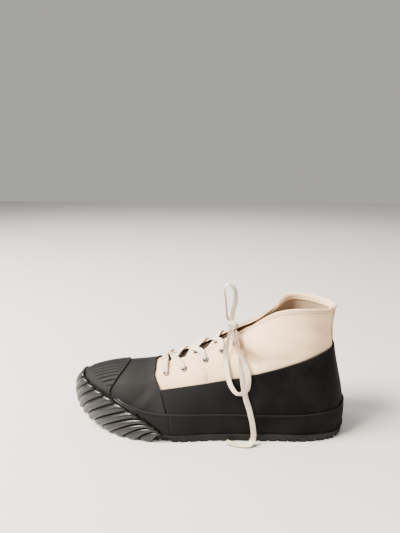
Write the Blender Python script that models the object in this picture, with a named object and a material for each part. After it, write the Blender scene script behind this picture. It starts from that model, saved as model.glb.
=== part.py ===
"""High-top sneaker with a canvas upper in a moulded rubber shoe bottom: one left shoe for a 26 cm foot.

Metres, +Z up. The toe points along -X, the outer (lateral) side is -Y and the inner (medial) side is +Y.
The origin lies on the floor, under the middle of the shoe. Every shell is taken from one function,
last_point, which gives the outer face of the canvas: the rubber pieces are the same face lifted
outwards, so they nest with an even gap.
"""

import math

import bmesh
import bpy
import numpy as np
from mathutils import Vector

# ---------------------------------------------------------------- driving sizes, in millimetres
MM = 0.001
GAP = 0.3
SEAM_GAP = 1.0  # between two rubber pieces that lie edge to edge
CANVAS_WALL = 1.8
RUBBER_WALL = 1.9
FOXING_WALL = 1.6
CAP_WALL = 1.3
BUMPER_GROOVE = 1.5  # wall of the bumper at the bottom of a groove
BUMPER_RIB = 1.8  # how far a rib stands out of the groove
BUMPER_FOOT = 0.6  # height of the bumper's lower edge over the tread
SOLE_THICKNESS = 6.7
SOLE_EDGE = 5.2
TOE_SPRING = 14.0
SPRING_STARTS_X = -75.0
TOE_X = -145.0
LUG_PITCH = 9.73
LUG_GROOVE = 3.2
LUG_DEPTH = 3.0
ARCH_FROM_X, ARCH_TO_X, ARCH_RISE = 5.0, 52.5, 1.2
MIDSOLE_THICKNESS = 4.4
INSOLE_THICKNESS = 2.6
INSIDE_CLEAR = 1.9  # between the upper's wall and what lies in it, at the middle of a facet
COLUMNS_PER_STATION = 3
ROWS = 9

# One row for each section, heel to toe, in degrees and millimetres. A section leaves the sole at its foot,
# climbs by rise while it swells by flare, and comes to the top edge from reach outside it and drop below it.
# aim is the way that it faces, 0 being backwards and 180 forwards. Widths are from the shoe's long axis.
SECTION_COLUMNS = (
    "aim", "foot_x", "foot_lateral", "foot_medial", "rise", "flare",
    "edge_x", "edge_lateral", "edge_medial", "height_lateral", "height_medial",
    "reach_lateral", "reach_medial", "drop_lateral", "drop_medial",
)
SECTIONS = {
    "heel": (0, 137.5, 0, 0, 42, 13.5, 128, 0, 0, 133.5, 133.5, -14.5, -14.5, 40, 40),
    "heel_side": (45, 127.5, 22, 22, 42, 8, 119.5, 17, 17, 133.8, 134, -3, -3, 38, 38),
    "counter": (82, 101, 31.5, 30.5, 42, 5, 99, 27.5, 28, 136.5, 135, 3, 3, 40, 40),
    "ankle": (90, 70, 34, 29, 42, 5, 81, 27, 24, 135.2, 134, 5, 6, 42, 36),
    "collar": (90, 47, 36, 27.5, 42, 6, 65, 18.5, 1, 127.5, 124.8, 8, 22, 32, 4),
    "corner": (90, 24, 38, 28.5, 42, 6, 47, 5, -7.5, 110.5, 114.5, 18, 26, 17, -11),
    "instep": (92, 0, 41, 31.5, 40, 6, 23, 4.5, 0, 96, 100.5, 20, 24, 12, 2),
    "waist": (95, -20, 44.5, 38, 36, 6, -14, 10, 8.5, 76.5, 78.5, 21, 22, 10, 10),
    "ball": (112, -40, 46.5, 44.5, 34, 6, -43, 9.5, 9, 66, 66, 26, 22, 8, 8),
    "vamp": (122, -76, 44, 47.5, 32, 7, -46.5, 6, 6, 65.5, 65, 31, 28, 9, 14),
    "toe_side": (138, -107, 32.5, 41, 37, 8, -48, 4, 4, 65, 64.7, 42, 38, 12, 17),
    "toe_corner": (160, -130, 16, 28, 42, 12, -49, 2, 2.2, 64.8, 64.6, 54, 51, 15, 18),
    "toe": (180, -140, -6, 6, 44, 15, -49.3, 0, 0, 64.7, 64.7, 62, 62, 17, 17),
}
TOE = len(SECTIONS) - 1
TURN = 2 * TOE  # sections all the way round: heel, lateral side, toe, medial side
VAMP_SEAM = list(SECTIONS).index("ball")  # the rubber vamp begins at this section


def spring(x):
    """How far the sole has risen off the floor at x, under the toe."""
    past = max(0.0, SPRING_STARTS_X - x) / (SPRING_STARTS_X - TOE_X)
    return TOE_SPRING * past * past


def section_ring():
    """The sections in order round the shoe, each as its foot, its two handles and its top edge."""
    ring = []
    for turn in range(TURN):
        medial = turn > TOE
        name = "medial" if medial else "lateral"
        side = 1 if medial else -1
        s = dict(zip(SECTION_COLUMNS, list(SECTIONS.values())[TURN - turn if medial else turn]))
        aim = math.radians(s["aim"])
        outward = np.array([math.cos(aim), side * math.sin(aim), 0.0])
        foot = np.array([s["foot_x"], side * s["foot_" + name], spring(s["foot_x"])])
        edge = np.array([s["edge_x"], side * s["edge_" + name], s["height_" + name]])
        swell = foot + outward * s["flare"] + np.array([0, 0, s["rise"]])
        approach = edge + outward * s["reach_" + name] - np.array([0, 0, s["drop_" + name]])
        ring.append((foot, swell, approach, edge))
    return np.array(ring)


RING = section_ring()


def handles(turn):
    """Foot, handles and top edge of the section at turn, which runs from 0 to TURN round the shoe."""
    i = math.floor(turn)
    f = turn - i
    a, b, c, d = (RING[(i + k) % TURN] for k in (-1, 0, 1, 2))
    return 0.5 * (2 * b + (c - a) * f + (2 * a - 5 * b + 4 * c - d) * f**2 + (3 * (b - c) + d - a) * f**3)


def bare_point(turn, climb):
    """A point of the canvas's outer face: climb runs from 0 at the sole's edge to 1 at the top edge."""
    foot, swell, approach, edge = handles(turn)
    back = 1 - climb
    return back**3 * foot + 3 * back**2 * climb * swell + 3 * back * climb**2 * approach + climb**3 * edge


def outward_at(turn, climb):
    step = 0.01
    along = bare_point(turn + step, climb) - bare_point(turn - step, climb)
    up = bare_point(turn, climb + step) - bare_point(turn, climb - step)
    out = np.cross(up, along)
    return out / np.linalg.norm(out)


def last_point(turn, climb, lift=0.0):
    """bare_point moved out of the shoe by lift."""
    return bare_point(turn, climb) + lift * outward_at(turn, climb)


def first_climb(turn, reached, lift=0.0):
    """The lowest climb at which reached(point) is true on a section."""
    steps = 40
    for k in range(1, steps + 1):
        if reached(last_point(turn, k / steps, lift)):
            low, high = (k - 1) / steps, k / steps
            for _ in range(12):
                middle = (low + high) / 2
                if reached(last_point(turn, middle, lift)):
                    high = middle
                else:
                    low = middle
            return high
    return 1.0


# ---------------------------------------------------------------- lines drawn on the last
VAMP_TOP = 0.94  # the climb of the vamp's back edge in the middle


def sole_line(turn, lift=0.0):
    """Where a wall that stands on the outsole begins, on the face at lift."""
    return first_climb(turn, lambda p: p[2] > spring(p[0]) + SOLE_THICKNESS + GAP, lift)


def tread_line(turn, lift):
    """Where the bumper begins, just over the tread's underside, on the face at lift."""
    return first_climb(turn, lambda p: p[2] > spring(p[0]) + BUMPER_FOOT, lift)


def smooth(value):
    value = min(1.0, max(0.0, value))
    return value * value * (3 - 2 * value)


def canvas_line(turn):
    """The rubber side wall's top edge, which rises towards the heel."""
    def reached(p):
        return p[2] > 48 + 0.19 * (p[0] + 46) + 14.5 * smooth((p[0] - 25) / 100)
    return first_climb(turn, reached)


def foxing_line(turn):
    """The top edge of the band round the sole, which rises to meet the bumper."""
    def reached(p):
        toe_rise = 12 * (max(0.0, -43 - p[0]) / 53) ** 2
        heel_rise = 4.5 * (max(0.0, p[0] - 50) / 90) ** 2
        return p[2] > 29 + toe_rise + heel_rise
    return first_climb(turn, reached)


def bumper_line(turn):
    """The top edge of the ribbed bumper, from the floor beside the ball of the foot to over the toe."""
    def reached(p):
        ahead = min(1.0, max(0.0, (-38 - p[0]) / 107))
        return p[2] > 3 + 43 * math.sin(math.pi / 2 * ahead) ** 0.65
    return first_climb(turn, reached)


def cap_line(turn):
    """The toe cap's back edge, which comes forward on each side of its middle."""
    return first_climb(turn, lambda p: p[0] > -83 - 15 * (abs(p[1]) / 32) ** 1.3)


def vamp_line(turn):
    """The rubber vamp's back edge, which arches from the side wall over the foot."""
    corner = canvas_line(VAMP_SEAM if turn < TOE else TURN - VAMP_SEAM)
    ahead = 1 - abs(turn - TOE) / (TOE - VAMP_SEAM)
    return corner + (VAMP_TOP - corner) * (1 - (1 - ahead) ** 6)


# ---------------------------------------------------------------- pieces
COLOURS = {
    # slot: colour, roughness, metallic
    "rubber": ((0.035, 0.036, 0.038), 0.42, 0.0),
    "canvas": ((0.78, 0.71, 0.60), 0.92, 0.0),
    "insole": ((0.42, 0.33, 0.24), 0.9, 0.0),
    "tongue": ((0.30, 0.25, 0.20), 0.92, 0.0),
    "lace": ((0.80, 0.76, 0.67), 0.88, 0.0),
    "eyelet": ((0.45, 0.44, 0.42), 0.35, 1.0),
}


def material(slot):
    found = bpy.data.materials.get(slot)
    if found:
        return found
    colour, roughness, metallic = COLOURS[slot]
    made = bpy.data.materials.new(slot)
    made.use_nodes = True
    shader = made.node_tree.nodes["Principled BSDF"]
    shader.inputs["Base Color"].default_value = (*colour, 1.0)
    shader.inputs["Roughness"].default_value = roughness
    shader.inputs["Metallic"].default_value = metallic
    return made


def finish(name, slot, bm):
    """Turn a bmesh, in millimetres, into an object in metres."""
    bmesh.ops.scale(bm, vec=(MM, MM, MM), verts=bm.verts)
    bmesh.ops.recalc_face_normals(bm, faces=bm.faces)
    mesh = bpy.data.meshes.new(name)
    bm.to_mesh(mesh)
    bm.free()
    mesh.polygons.foreach_set("use_smooth", [True] * len(mesh.polygons))
    made = bpy.data.objects.new(name, mesh)
    mesh.materials.append(material(slot))
    bpy.context.scene.collection.objects.link(made)
    return made


def block(columns, rows, place, ring=False):
    """A sheet of columns by rows with a thickness, each vertex set by place(across, up, outside).

    across and up run from 0 to 1 and outside is 0 or 1. A ring joins its last column to its first.
    """
    bm = bmesh.new()
    bmesh.ops.create_grid(bm, x_segments=columns, y_segments=rows, size=0.5)
    across = bm.verts.layers.float.new("across")
    up = bm.verts.layers.float.new("up")
    for vertex in bm.verts:
        vertex[across] = vertex.co.x + 0.5
        vertex[up] = vertex.co.y + 0.5
        if ring:
            angle = 2 * math.pi * vertex[across]
            vertex.co = (math.cos(angle), math.sin(angle), vertex.co.y)
    if ring:
        bmesh.ops.remove_doubles(bm, verts=bm.verts, dist=1e-5)
    grown = bmesh.ops.extrude_face_region(bm, geom=bm.faces[:])["geom"]
    outer = {item for item in grown if isinstance(item, bmesh.types.BMVert)}
    for vertex in bm.verts:
        vertex.co = Vector(place(vertex[across], vertex[up], 1 if vertex in outer else 0))
    return bm


def between(low, high, share):
    return low + (high - low) * share


def patch(name, slot, turns, columns, rows, bottom, top, inner, wall):
    """A rubber or canvas piece that lies on the last between two turns and two lines."""
    def place(across, up, outside):
        turn = between(*turns, across)
        lift = inner + wall * outside
        return last_point(turn, between(bottom(turn, lift), top(turn), up), lift)
    return finish(name, slot, block(columns, rows, place))


# ---------------------------------------------------------------- upper, tongue and the inside
RUBBER_ROWS = 5  # rows of the upper under the rubber; the rest are above its top edge
RUBBER_LIFT = GAP
OVER_RUBBER = RUBBER_LIFT + RUBBER_WALL + GAP
CAP_SEAM_GAP = 1.8  # over the bumper, whose ribs end on other columns than the cap
CAP_CORNER = 3.0  # the least height of the cap, at its two corners
FOXING_ALLOWANCE = 0.25
CURVE_ALLOWANCE = 0.4  # what a facet may sink below the curve on the toe's tight bends


def rubber_line(turn):
    """The top edge of all the rubber, on the side wall or on the vamp."""
    turn = turn % TURN
    if VAMP_SEAM < turn < TURN - VAMP_SEAM:
        return vamp_line(turn)
    return canvas_line(turn)


def upper_climb(turn, row, lift=0.0):
    """The climb of a row of the upper, so that the rubber and the tongue can use the same rows."""
    if row <= RUBBER_ROWS:
        return between(sole_line(turn, lift), rubber_line(turn), row / RUBBER_ROWS)
    return between(rubber_line(turn), 1.0, (row - RUBBER_ROWS) / (ROWS - RUBBER_ROWS))


def make_upper():
    def place(across, up, outside):
        turn = across * TURN
        lift = 0.0 if outside else -CANVAS_WALL
        return last_point(turn, upper_climb(turn, up * ROWS, lift), lift)
    upper = finish("upper", "canvas", block(TURN * COLUMNS_PER_STATION, ROWS, place, ring=True))
    holes = bmesh.new()
    for place in eyelet_places():
        bmesh.ops.create_cone(holes, segments=8, radius1=EYELET_HOLE, radius2=EYELET_HOLE, depth=9,
                              cap_ends=True, matrix=place)
    cutter = finish("eyelet_holes", "canvas", holes)
    cutter.hide_render = True
    cutter.display_type = "WIRE"
    cut = upper.modifiers.new("eyelet holes", "BOOLEAN")
    cut.operation = "DIFFERENCE"
    cut.object = cutter


TONGUE_TURNS = (5 + 2 / 3, 9.0)  # its top is under the flaps, just below where they cross
TONGUE_LIFT = -(CANVAS_WALL + 1.0)  # under the backs of the eyelets
TONGUE_WALL = 1.4
TONGUE_ACROSS = 4


def make_tongue():
    """The tongue lies under both edges of the throat and bridges it."""
    def edge(turn, row, lift):
        return last_point(turn, upper_climb(turn, row), lift)

    def place(across, up, outside):
        turn = between(*TONGUE_TURNS, across)
        step = round(up * TONGUE_ACROSS)
        lift = TONGUE_LIFT - TONGUE_WALL * (1 - outside)
        under = min(step, TONGUE_ACROSS - step)
        if under < TONGUE_ACROSS // 2:
            row = ROWS - (1 - under)
            return edge(turn if step < TONGUE_ACROSS / 2 else TURN - turn, row, lift)
        return (edge(turn, ROWS, lift) + edge(TURN - turn, ROWS, lift)) / 2
    columns = round((TONGUE_TURNS[1] - TONGUE_TURNS[0]) * COLUMNS_PER_STATION)
    finish("tongue", "tongue", block(columns, TONGUE_ACROSS, place))


SLAB_END = 0.06  # how far from heel and toe a layer stops, in turns


def make_slab(name, slot, low, high, columns_per_station):
    """A layer of the shoe's bottom inside the upper, between two heights over the sprung sole."""
    def place(across, up, outside):
        turn = min(max(across * TOE, SLAB_END), TOE - SLAB_END)
        rise = high if outside else low
        turn = TURN - turn if up > 0.5 else turn
        climb = first_climb(turn, lambda p: p[2] > spring(p[0]) + rise)
        return last_point(turn, climb, -(CANVAS_WALL + INSIDE_CLEAR)) * (1, 1, 0) + (
            0, 0, spring(handles(turn)[0][0]) + rise)
    finish(name, slot, block(TOE * columns_per_station, 1, place))


# ---------------------------------------------------------------- rubber
def make_side_rubber():
    columns = 2 * VAMP_SEAM * COLUMNS_PER_STATION
    patch("side_rubber", "rubber", (SIDE_SEAM - VAMP_SEAM, VAMP_SEAM - SIDE_SEAM), columns, RUBBER_ROWS,
          sole_line, canvas_line, RUBBER_LIFT, RUBBER_WALL)


def make_vamp_rubber():
    columns = 2 * (TOE - VAMP_SEAM) * COLUMNS_PER_STATION
    patch("vamp_rubber", "rubber", (VAMP_SEAM, TURN - VAMP_SEAM), columns, RUBBER_ROWS,
          sole_line, vamp_line, RUBBER_LIFT, RUBBER_WALL)


SIDE_SEAM = 0.04  # half of the side wall's seam to the vamp, in turns
FOXING_REACH = VAMP_SEAM + 1.75  # the turn at which the band runs out over the bumper
FOXING_ROWS = 3
BUMPER_RIBS = 11  # on each side of the toe
BUMPER_ROWS = 4
COLUMNS_PER_RIB = 3
RIB_FOOT_END = VAMP_SEAM + 0.3  # the turns at which the last rib begins and ends
RIB_HEAD_END = VAMP_SEAM + 0.04
RIB_FOOT_SPREAD = 1.3  # above 1, the ribs' feet spread out towards the side
RIB_CROWDING = 1.38  # above 1, their heads crowd there, so that the ribs lean back
CAP_REACH = TOE - VAMP_SEAM - 2.0
CAP_ROWS = 7


def seam_climb(turn, gap=SEAM_GAP):
    """The climb of a seam's gap, near the foot of a section."""
    foot, swell = handles(turn)[:2]
    return gap / (3 * np.linalg.norm(swell - foot))


def make_foxing():
    def bottom(turn, lift):
        if abs(turn) < VAMP_SEAM:
            return sole_line(turn, lift)
        return max(sole_line(turn, lift), bumper_line(turn) + seam_climb(turn))

    patch("foxing_band", "rubber", (-FOXING_REACH, FOXING_REACH),
          round(2 * FOXING_REACH * COLUMNS_PER_STATION), FOXING_ROWS,
          bottom, foxing_line, OVER_RUBBER + FOXING_ALLOWANCE, FOXING_WALL)


def rib_turn(rib, up):
    """The turn of a groove of the bumper, up its height: the grooves lean back more beside the foot."""
    share = abs(rib) / BUMPER_RIBS
    foot = between(TOE, RIB_FOOT_END, share ** RIB_FOOT_SPREAD)
    head = between(RIB_HEAD_END, TOE, (1 - share) ** RIB_CROWDING)
    turn = between(foot, head, up)
    return turn if rib >= 0 else TURN - turn


def make_bumper():
    columns = 2 * BUMPER_RIBS * COLUMNS_PER_RIB

    def place(across, up, outside):
        column = round(across * columns)
        rib = column / COLUMNS_PER_RIB - BUMPER_RIBS
        turn = rib_turn(rib, up)
        stands = 0 if column % COLUMNS_PER_RIB == 0 else BUMPER_RIB
        lift = OVER_RUBBER + CURVE_ALLOWANCE + (BUMPER_GROOVE + stands) * outside
        return last_point(turn, between(tread_line(turn, lift), bumper_line(turn), up), lift)
    finish("toe_bumper", "rubber", block(columns, BUMPER_ROWS, place))


def make_toe_cap():
    def bottom(turn, lift):
        return bumper_line(turn) + seam_climb(turn, CAP_SEAM_GAP)

    def top(turn):
        return max(cap_line(turn), bottom(turn, 0) + seam_climb(turn, CAP_CORNER))

    patch("toe_cap", "rubber", (TOE - CAP_REACH, TOE + CAP_REACH),
          COLUMNS_PER_STATION * round(2 * CAP_REACH), CAP_ROWS, bottom, top,
          OVER_RUBBER + CURVE_ALLOWANCE, CAP_WALL)


HEEL_STRIP_WALL = 0.8


def make_heel_strip():
    """A canvas strip up the back, over the upper's own columns and rows."""
    def place(across, up, outside):
        turn = (2 * across - 1) / COLUMNS_PER_STATION
        row = between(RUBBER_ROWS, ROWS, up)
        row = min(max(row, RUBBER_ROWS + 0.15), ROWS - 0.1)
        return last_point(turn, upper_climb(turn, row), GAP + HEEL_STRIP_WALL * outside)
    finish("heel_strip", "canvas", block(2, ROWS - RUBBER_ROWS, place))


# ---------------------------------------------------------------- outsole
def outline(turn, lift):
    """A point of the tread's outline, in plan."""
    foot, swell = handles(turn)[:2]
    out = (swell - foot) * (1, 1, 0)
    inset = smooth((-27 - foot[0]) / 10) * (SOLE_EDGE - RUBBER_LIFT - RUBBER_WALL)
    return foot + out / np.linalg.norm(out) * (lift - inset)


def outline_at(x, medial):
    """The point of the tread's outline at x on one side."""
    low, high = 0.0, float(TOE)
    for _ in range(30):
        middle = (low + high) / 2
        if outline(TURN - middle if medial else middle, SOLE_EDGE)[0] > x:
            low = middle
        else:
            high = middle
    return outline(TURN - low if medial else low, SOLE_EDGE)


def tread_profile():
    """Stations along the tread as x and the heights of its underside just behind and just ahead."""
    heel = outline(0, SOLE_EDGE)[0]
    toe = outline(TOE, SOLE_EDGE)[0]
    ends = [heel - 0.15, heel - 1.5, heel - 4.5]
    profile = [(x, 0.0, 0.0) for x in ends]
    x = heel - LUG_PITCH
    while x > toe + LUG_PITCH:
        profile += [(x, 0.0, LUG_DEPTH), (x - LUG_GROOVE, LUG_DEPTH, 0.0)]
        x -= LUG_PITCH
    profile += [(x, 0.0, 0.0) for x in (toe + 5.0, toe + 1.8, toe + 0.3)]
    return profile


def underside(x, depth):
    """The height of the tread at x, with its arch and its toe spring."""
    arch = ARCH_RISE if ARCH_FROM_X < x < ARCH_TO_X else 0.0
    return spring(x) + max(depth, arch)


def make_outsole():
    bm = bmesh.new()
    profile = tread_profile()
    tops, sides = [], []
    for x, behind, ahead in profile:
        pair = [outline_at(x, medial) for medial in (False, True)]
        top = [bm.verts.new((x, p[1], spring(x) + SOLE_THICKNESS)) for p in pair]
        low = [bm.verts.new((x, p[1], underside(x, behind))) for p in pair]
        level = abs(underside(x, behind) - underside(x, ahead)) < 1e-6
        next_low = low if level else [bm.verts.new((x, p[1], underside(x, ahead))) for p in pair]
        tops.append(top)
        sides.append((low, next_low))
    for k in range(len(profile) - 1):
        near, far = sides[k], sides[k + 1]
        bm.faces.new((tops[k][0], tops[k][1], tops[k + 1][1], tops[k + 1][0]))
        bm.faces.new((near[1][0], near[1][1], far[0][1], far[0][0]))
        if near[0] is not near[1]:
            bm.faces.new((near[0][0], near[0][1], near[1][1], near[1][0]))
        for side in (0, 1):
            ring = [tops[k][side], tops[k + 1][side]]
            ring += [v for v in (far[1][side], far[0][side]) if v.co.z >= far[0][side].co.z]
            ring += [v for v in (near[1][side], near[0][side]) if v.co.z >= near[1][side].co.z]
            bm.faces.new(list(dict.fromkeys(ring)))
    for k in (0, -1):
        bm.faces.new((tops[k][0], tops[k][1], sides[k][0][1], sides[k][0][0]))
    finish("outsole", "rubber", bm)


# ---------------------------------------------------------------- eyelets
# One row for each pair, toe to collar: its place round the shoe, and its distance from the throat's edge.
EYELET_COLUMNS = ("turn", "in_from_edge")
EYELETS = ((7.75, 15.5), (7.2, 14.5), (6.6, 14.0), (6.15, 13.5), (5.7, 12.0))
EYELET_BORE = 1.9
EYELET_HOLE = 2.7
EYELET_FLANGE = 3.3


def eyelet_spot(pair, medial):
    """The turn and climb of an eyelet's middle."""
    eyelet = dict(zip(EYELET_COLUMNS, EYELETS[pair]))
    turn = eyelet["turn"]
    turn = TURN - turn if medial else turn
    climb = 1.0
    here = bare_point(turn, climb)
    gone = 0.0
    while gone < eyelet["in_from_edge"]:
        climb -= 0.002
        step = bare_point(turn, climb)
        gone += np.linalg.norm(step - here)
        here = step
    return turn, climb


def eyelet_place(pair, medial):
    """The matrix of an eyelet: its origin on the canvas's outer face and its Z axis out of the shoe."""
    spot = eyelet_spot(pair, medial)
    place = Vector(outward_at(*spot)).to_track_quat("Z", "Y").to_matrix().to_4x4()
    place.translation = Vector(bare_point(*spot))
    return place


def eyelet_places():
    return [eyelet_place(pair, medial) for medial in (False, True) for pair in range(len(EYELETS))]


def make_eyelets():
    back = -(CANVAS_WALL + 0.6)
    profile = ((EYELET_BORE, back), (EYELET_BORE + 0.4, back), (EYELET_BORE + 0.4, GAP),
               (EYELET_FLANGE, GAP), (EYELET_BORE, GAP + 0.7))
    for index, place in enumerate(eyelet_places()):
        bm = bmesh.new()
        corners = [bm.verts.new((radius, 0, height)) for radius, height in profile]
        edges = [bm.edges.new((corners[k - 1], corners[k])) for k in range(len(corners))]
        bmesh.ops.spin(bm, geom=corners + edges, cent=(0, 0, 0), axis=(0, 0, 1), angle=2 * math.pi,
                       steps=8, use_merge=True)
        bmesh.ops.remove_doubles(bm, verts=bm.verts, dist=1e-4)
        bmesh.ops.transform(bm, matrix=place, verts=bm.verts)
        side = "lateral" if index < len(EYELETS) else "medial"
        finish(f"eyelet_{side}_{index % len(EYELETS) + 1}", "eyelet", bm)


# ---------------------------------------------------------------- laces
LACE_WIDTH = 6.5
LACE_THICKNESS = 1.1
STRAND_RISE = 0.6
LACE_CLEAR = 2.3  # how far a strand lies over the canvas, clear of the eyelets


def strand_half(pair, medial, raised):
    """Points and upward directions from an eyelet up to the edge of the throat."""
    turn, climb = eyelet_spot(pair, medial)
    points, ups = [], []
    for share in (0.0, 0.5, 1.0):
        spot = (turn, between(climb, 1.0, share))
        points.append(last_point(*spot, LACE_CLEAR + raised + 1.6 * share))
        ups.append(between(outward_at(*spot), np.array([0, 0, 1.0]), 0.5 * share))
    return points, ups


def strand(start, end, bow, raised):
    """A flat strand from one eyelet over both edges of the throat to another, as a block.

    It rises and narrows a little on its way, so that strands lie over each other where they share an eyelet.
    """
    first, first_ups = strand_half(*start, raised)
    last, last_ups = strand_half(*end, raised + STRAND_RISE)
    middle = (first[-1] + last[-1]) / 2 + np.array([0, 0, bow])
    stops = first + [middle] + last[::-1]
    ups = first_ups + [np.array([0, 0, 1.0])] + last_ups[::-1]

    def place(across, up, outside):
        k = round(across * (len(stops) - 1))
        along = stops[min(k + 1, len(stops) - 1)] - stops[max(k - 1, 0)]
        face = ups[k] / np.linalg.norm(ups[k])
        side = np.cross(face, along)
        side /= np.linalg.norm(side)
        width = LACE_WIDTH - raised - 0.5 * across
        return stops[k] + side * width * (up - 0.5) + face * LACE_THICKNESS * outside
    return block(len(stops) - 1, 1, place)


def make_crossings():
    """The bar at the toe end and the crossed strands above it, joined where they touch."""
    runs = [((0, False), (0, True), 2.4, 0.0)]
    for pair in range(len(EYELETS) - 1):
        runs.append(((pair, False), (pair + 1, True), 3.4, STRAND_RISE / 2))
        runs.append(((pair, True), (pair + 1, False), 2.8, STRAND_RISE / 3))
    made = None
    for index, run in enumerate(runs):
        piece = finish(f"lace_strand_{index}", "lace", strand(*run))
        if made is None:
            made = piece
            made.name = "lace_crossings"
            continue
        piece.hide_render = True
        piece.display_type = "WIRE"
        join = made.modifiers.new(piece.name, "BOOLEAN")
        join.operation = "UNION"
        join.object = piece


CORD_RADIUS = 1.2
KNOT_RADIUS = 3.0
KNOT = ((21.6, -9.5, 110.8), (26, -9.5, 110.8), (30.4, -9.5, 110.8))
# The bow's upright loop, from the knot and back to it.
LOOP_UP = (
    (22.5, -9.5, 115), (20, -9.5, 120), (19.5, -9, 126), (19, -9, 132), (18.5, -8.5, 138),
    (17.5, -8.5, 144), (17.5, -8, 149.5), (20.5, -8, 153), (24.5, -8, 151.5), (27.5, -8.5, 147.5),
    (28.5, -8.5, 142), (28.5, -8.5, 136), (27.5, -9, 130.5), (26, -9, 125), (25.5, -9.5, 120),
    (26, -9.5, 115),
)
# The bow's hanging loop, down the outer side of the shoe and back up.
LOOP_DOWN = (
    (26.5, -12.5, 107), (27.5, -16.5, 102), (29, -20, 97), (31, -23, 92), (34, -26, 87),
    (37, -29, 82), (39.5, -32, 77), (41.5, -35, 72), (42.5, -37.5, 67), (42.5, -40, 62),
    (41, -41.5, 57), (37, -42, 53), (32, -41, 52), (28, -39, 55), (25, -37, 60), (23, -34, 65),
    (21.5, -31, 70), (20.5, -27.5, 75), (20, -24.5, 80), (20, -22, 86), (21, -20, 92),
    (22, -17, 98), (23, -14.5, 103), (23.5, -12.5, 107),
)
# The lace's free end, under the hanging loop, over the foxing and along the floor.
FREE_END = (
    (29.5, -11.5, 106), (30.5, -15, 100.5), (32, -18.5, 95), (33, -21.5, 89), (34, -25, 83),
    (35, -28, 77), (36, -31.5, 71), (37, -34.5, 65), (38, -37.5, 59), (39, -39, 53),
    (40.5, -40.5, 47), (42.5, -41.5, 41), (44.5, -42.5, 35), (46, -43.5, 29), (47.5, -44, 23),
    (48.5, -45, 17), (49, -46, 11), (48, -47.5, 5.5), (44.5, -49.5, 2), (39, -50, 1.5),
    (33, -49.5, 1.5), (27.5, -48.5, 2), (22.5, -47.5, 3),
)


def cord(name, points, radius):
    """A round stand-in for a stretch of the flat lace."""
    curve = bpy.data.curves.new(name, "CURVE")
    curve.dimensions = "3D"
    curve.bevel_depth = radius * MM
    curve.bevel_resolution = 2
    curve.use_fill_caps = True
    spline = curve.splines.new("POLY")
    spline.points.add(len(points) - 1)
    for point, place in zip(spline.points, points):
        point.co = (*(length * MM for length in place), 1.0)
    curve.materials.append(material("lace"))
    bpy.context.scene.collection.objects.link(bpy.data.objects.new(name, curve))


def main():
    for old in list(bpy.data.objects):
        bpy.data.objects.remove(old)
    make_outsole()
    make_slab("midsole", "rubber", SOLE_THICKNESS + GAP, SOLE_THICKNESS + GAP + MIDSOLE_THICKNESS, 2)
    insole_low = SOLE_THICKNESS + 2 * GAP + MIDSOLE_THICKNESS
    make_slab("insole", "insole", insole_low, insole_low + INSOLE_THICKNESS, 2)
    make_upper()
    make_heel_strip()
    make_tongue()
    make_side_rubber()
    make_vamp_rubber()
    make_foxing()
    make_bumper()
    make_toe_cap()
    make_eyelets()
    make_crossings()
    cord("lace_knot", KNOT, KNOT_RADIUS)
    cord("lace_loop_up", LOOP_UP, CORD_RADIUS)
    cord("lace_loop_down", LOOP_DOWN, CORD_RADIUS)
    cord("lace_end", FREE_END, CORD_RADIUS)


main()
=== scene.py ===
import math

import bmesh
import bpy
import numpy as np
from mathutils import Matrix, Vector


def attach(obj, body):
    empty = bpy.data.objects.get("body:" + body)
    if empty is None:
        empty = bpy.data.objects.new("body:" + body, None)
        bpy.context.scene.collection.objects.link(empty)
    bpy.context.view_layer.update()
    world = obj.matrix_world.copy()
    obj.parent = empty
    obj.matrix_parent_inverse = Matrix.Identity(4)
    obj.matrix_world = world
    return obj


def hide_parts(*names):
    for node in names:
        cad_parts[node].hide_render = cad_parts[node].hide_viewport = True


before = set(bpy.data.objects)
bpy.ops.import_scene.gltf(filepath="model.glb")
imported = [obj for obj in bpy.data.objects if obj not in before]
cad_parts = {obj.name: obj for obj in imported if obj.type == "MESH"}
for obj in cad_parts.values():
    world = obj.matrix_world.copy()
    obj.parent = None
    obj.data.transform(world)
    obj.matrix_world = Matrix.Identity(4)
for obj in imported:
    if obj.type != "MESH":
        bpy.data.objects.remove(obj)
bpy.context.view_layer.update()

bl_info = {
    "name": "Canvas and rubber high-top sneaker",
    "version": (1, 0, 0),
    "blender": (4, 5, 0),
    "location": "3D View > Sidebar > Sneaker",
    "description": "Dresses the high-top sneaker: cloth, rubber, eyelets, stitches and laces",
    "category": "Object",
}

MM = 0.001
BODY = "root"

# ---------------------------------------------------------------- the last, as in the part's source
GAP = 0.3
SEAM_GAP = 1.0
CANVAS_WALL = 1.8
RUBBER_WALL = 1.9
FOXING_WALL = 1.6
CAP_WALL = 1.3
BUMPER_GROOVE = 1.5
BUMPER_RIB = 1.8
BUMPER_RIBS = 11
BUMPER_FOOT = 0.6
SOLE_THICKNESS = 6.7
TOE_SPRING = 14.0
SPRING_STARTS_X = -75.0
TOE_X = -145.0
RUBBER_LIFT = GAP
OVER_RUBBER = RUBBER_LIFT + RUBBER_WALL + GAP
CURVE_ALLOWANCE = 0.4
CAP_SEAM_GAP = 1.8
CAP_CORNER = 3.0
VAMP_TOP = 0.972
SEAM_SLANT = 0.45  # how far the seam between side and vamp leans, in turns

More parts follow.
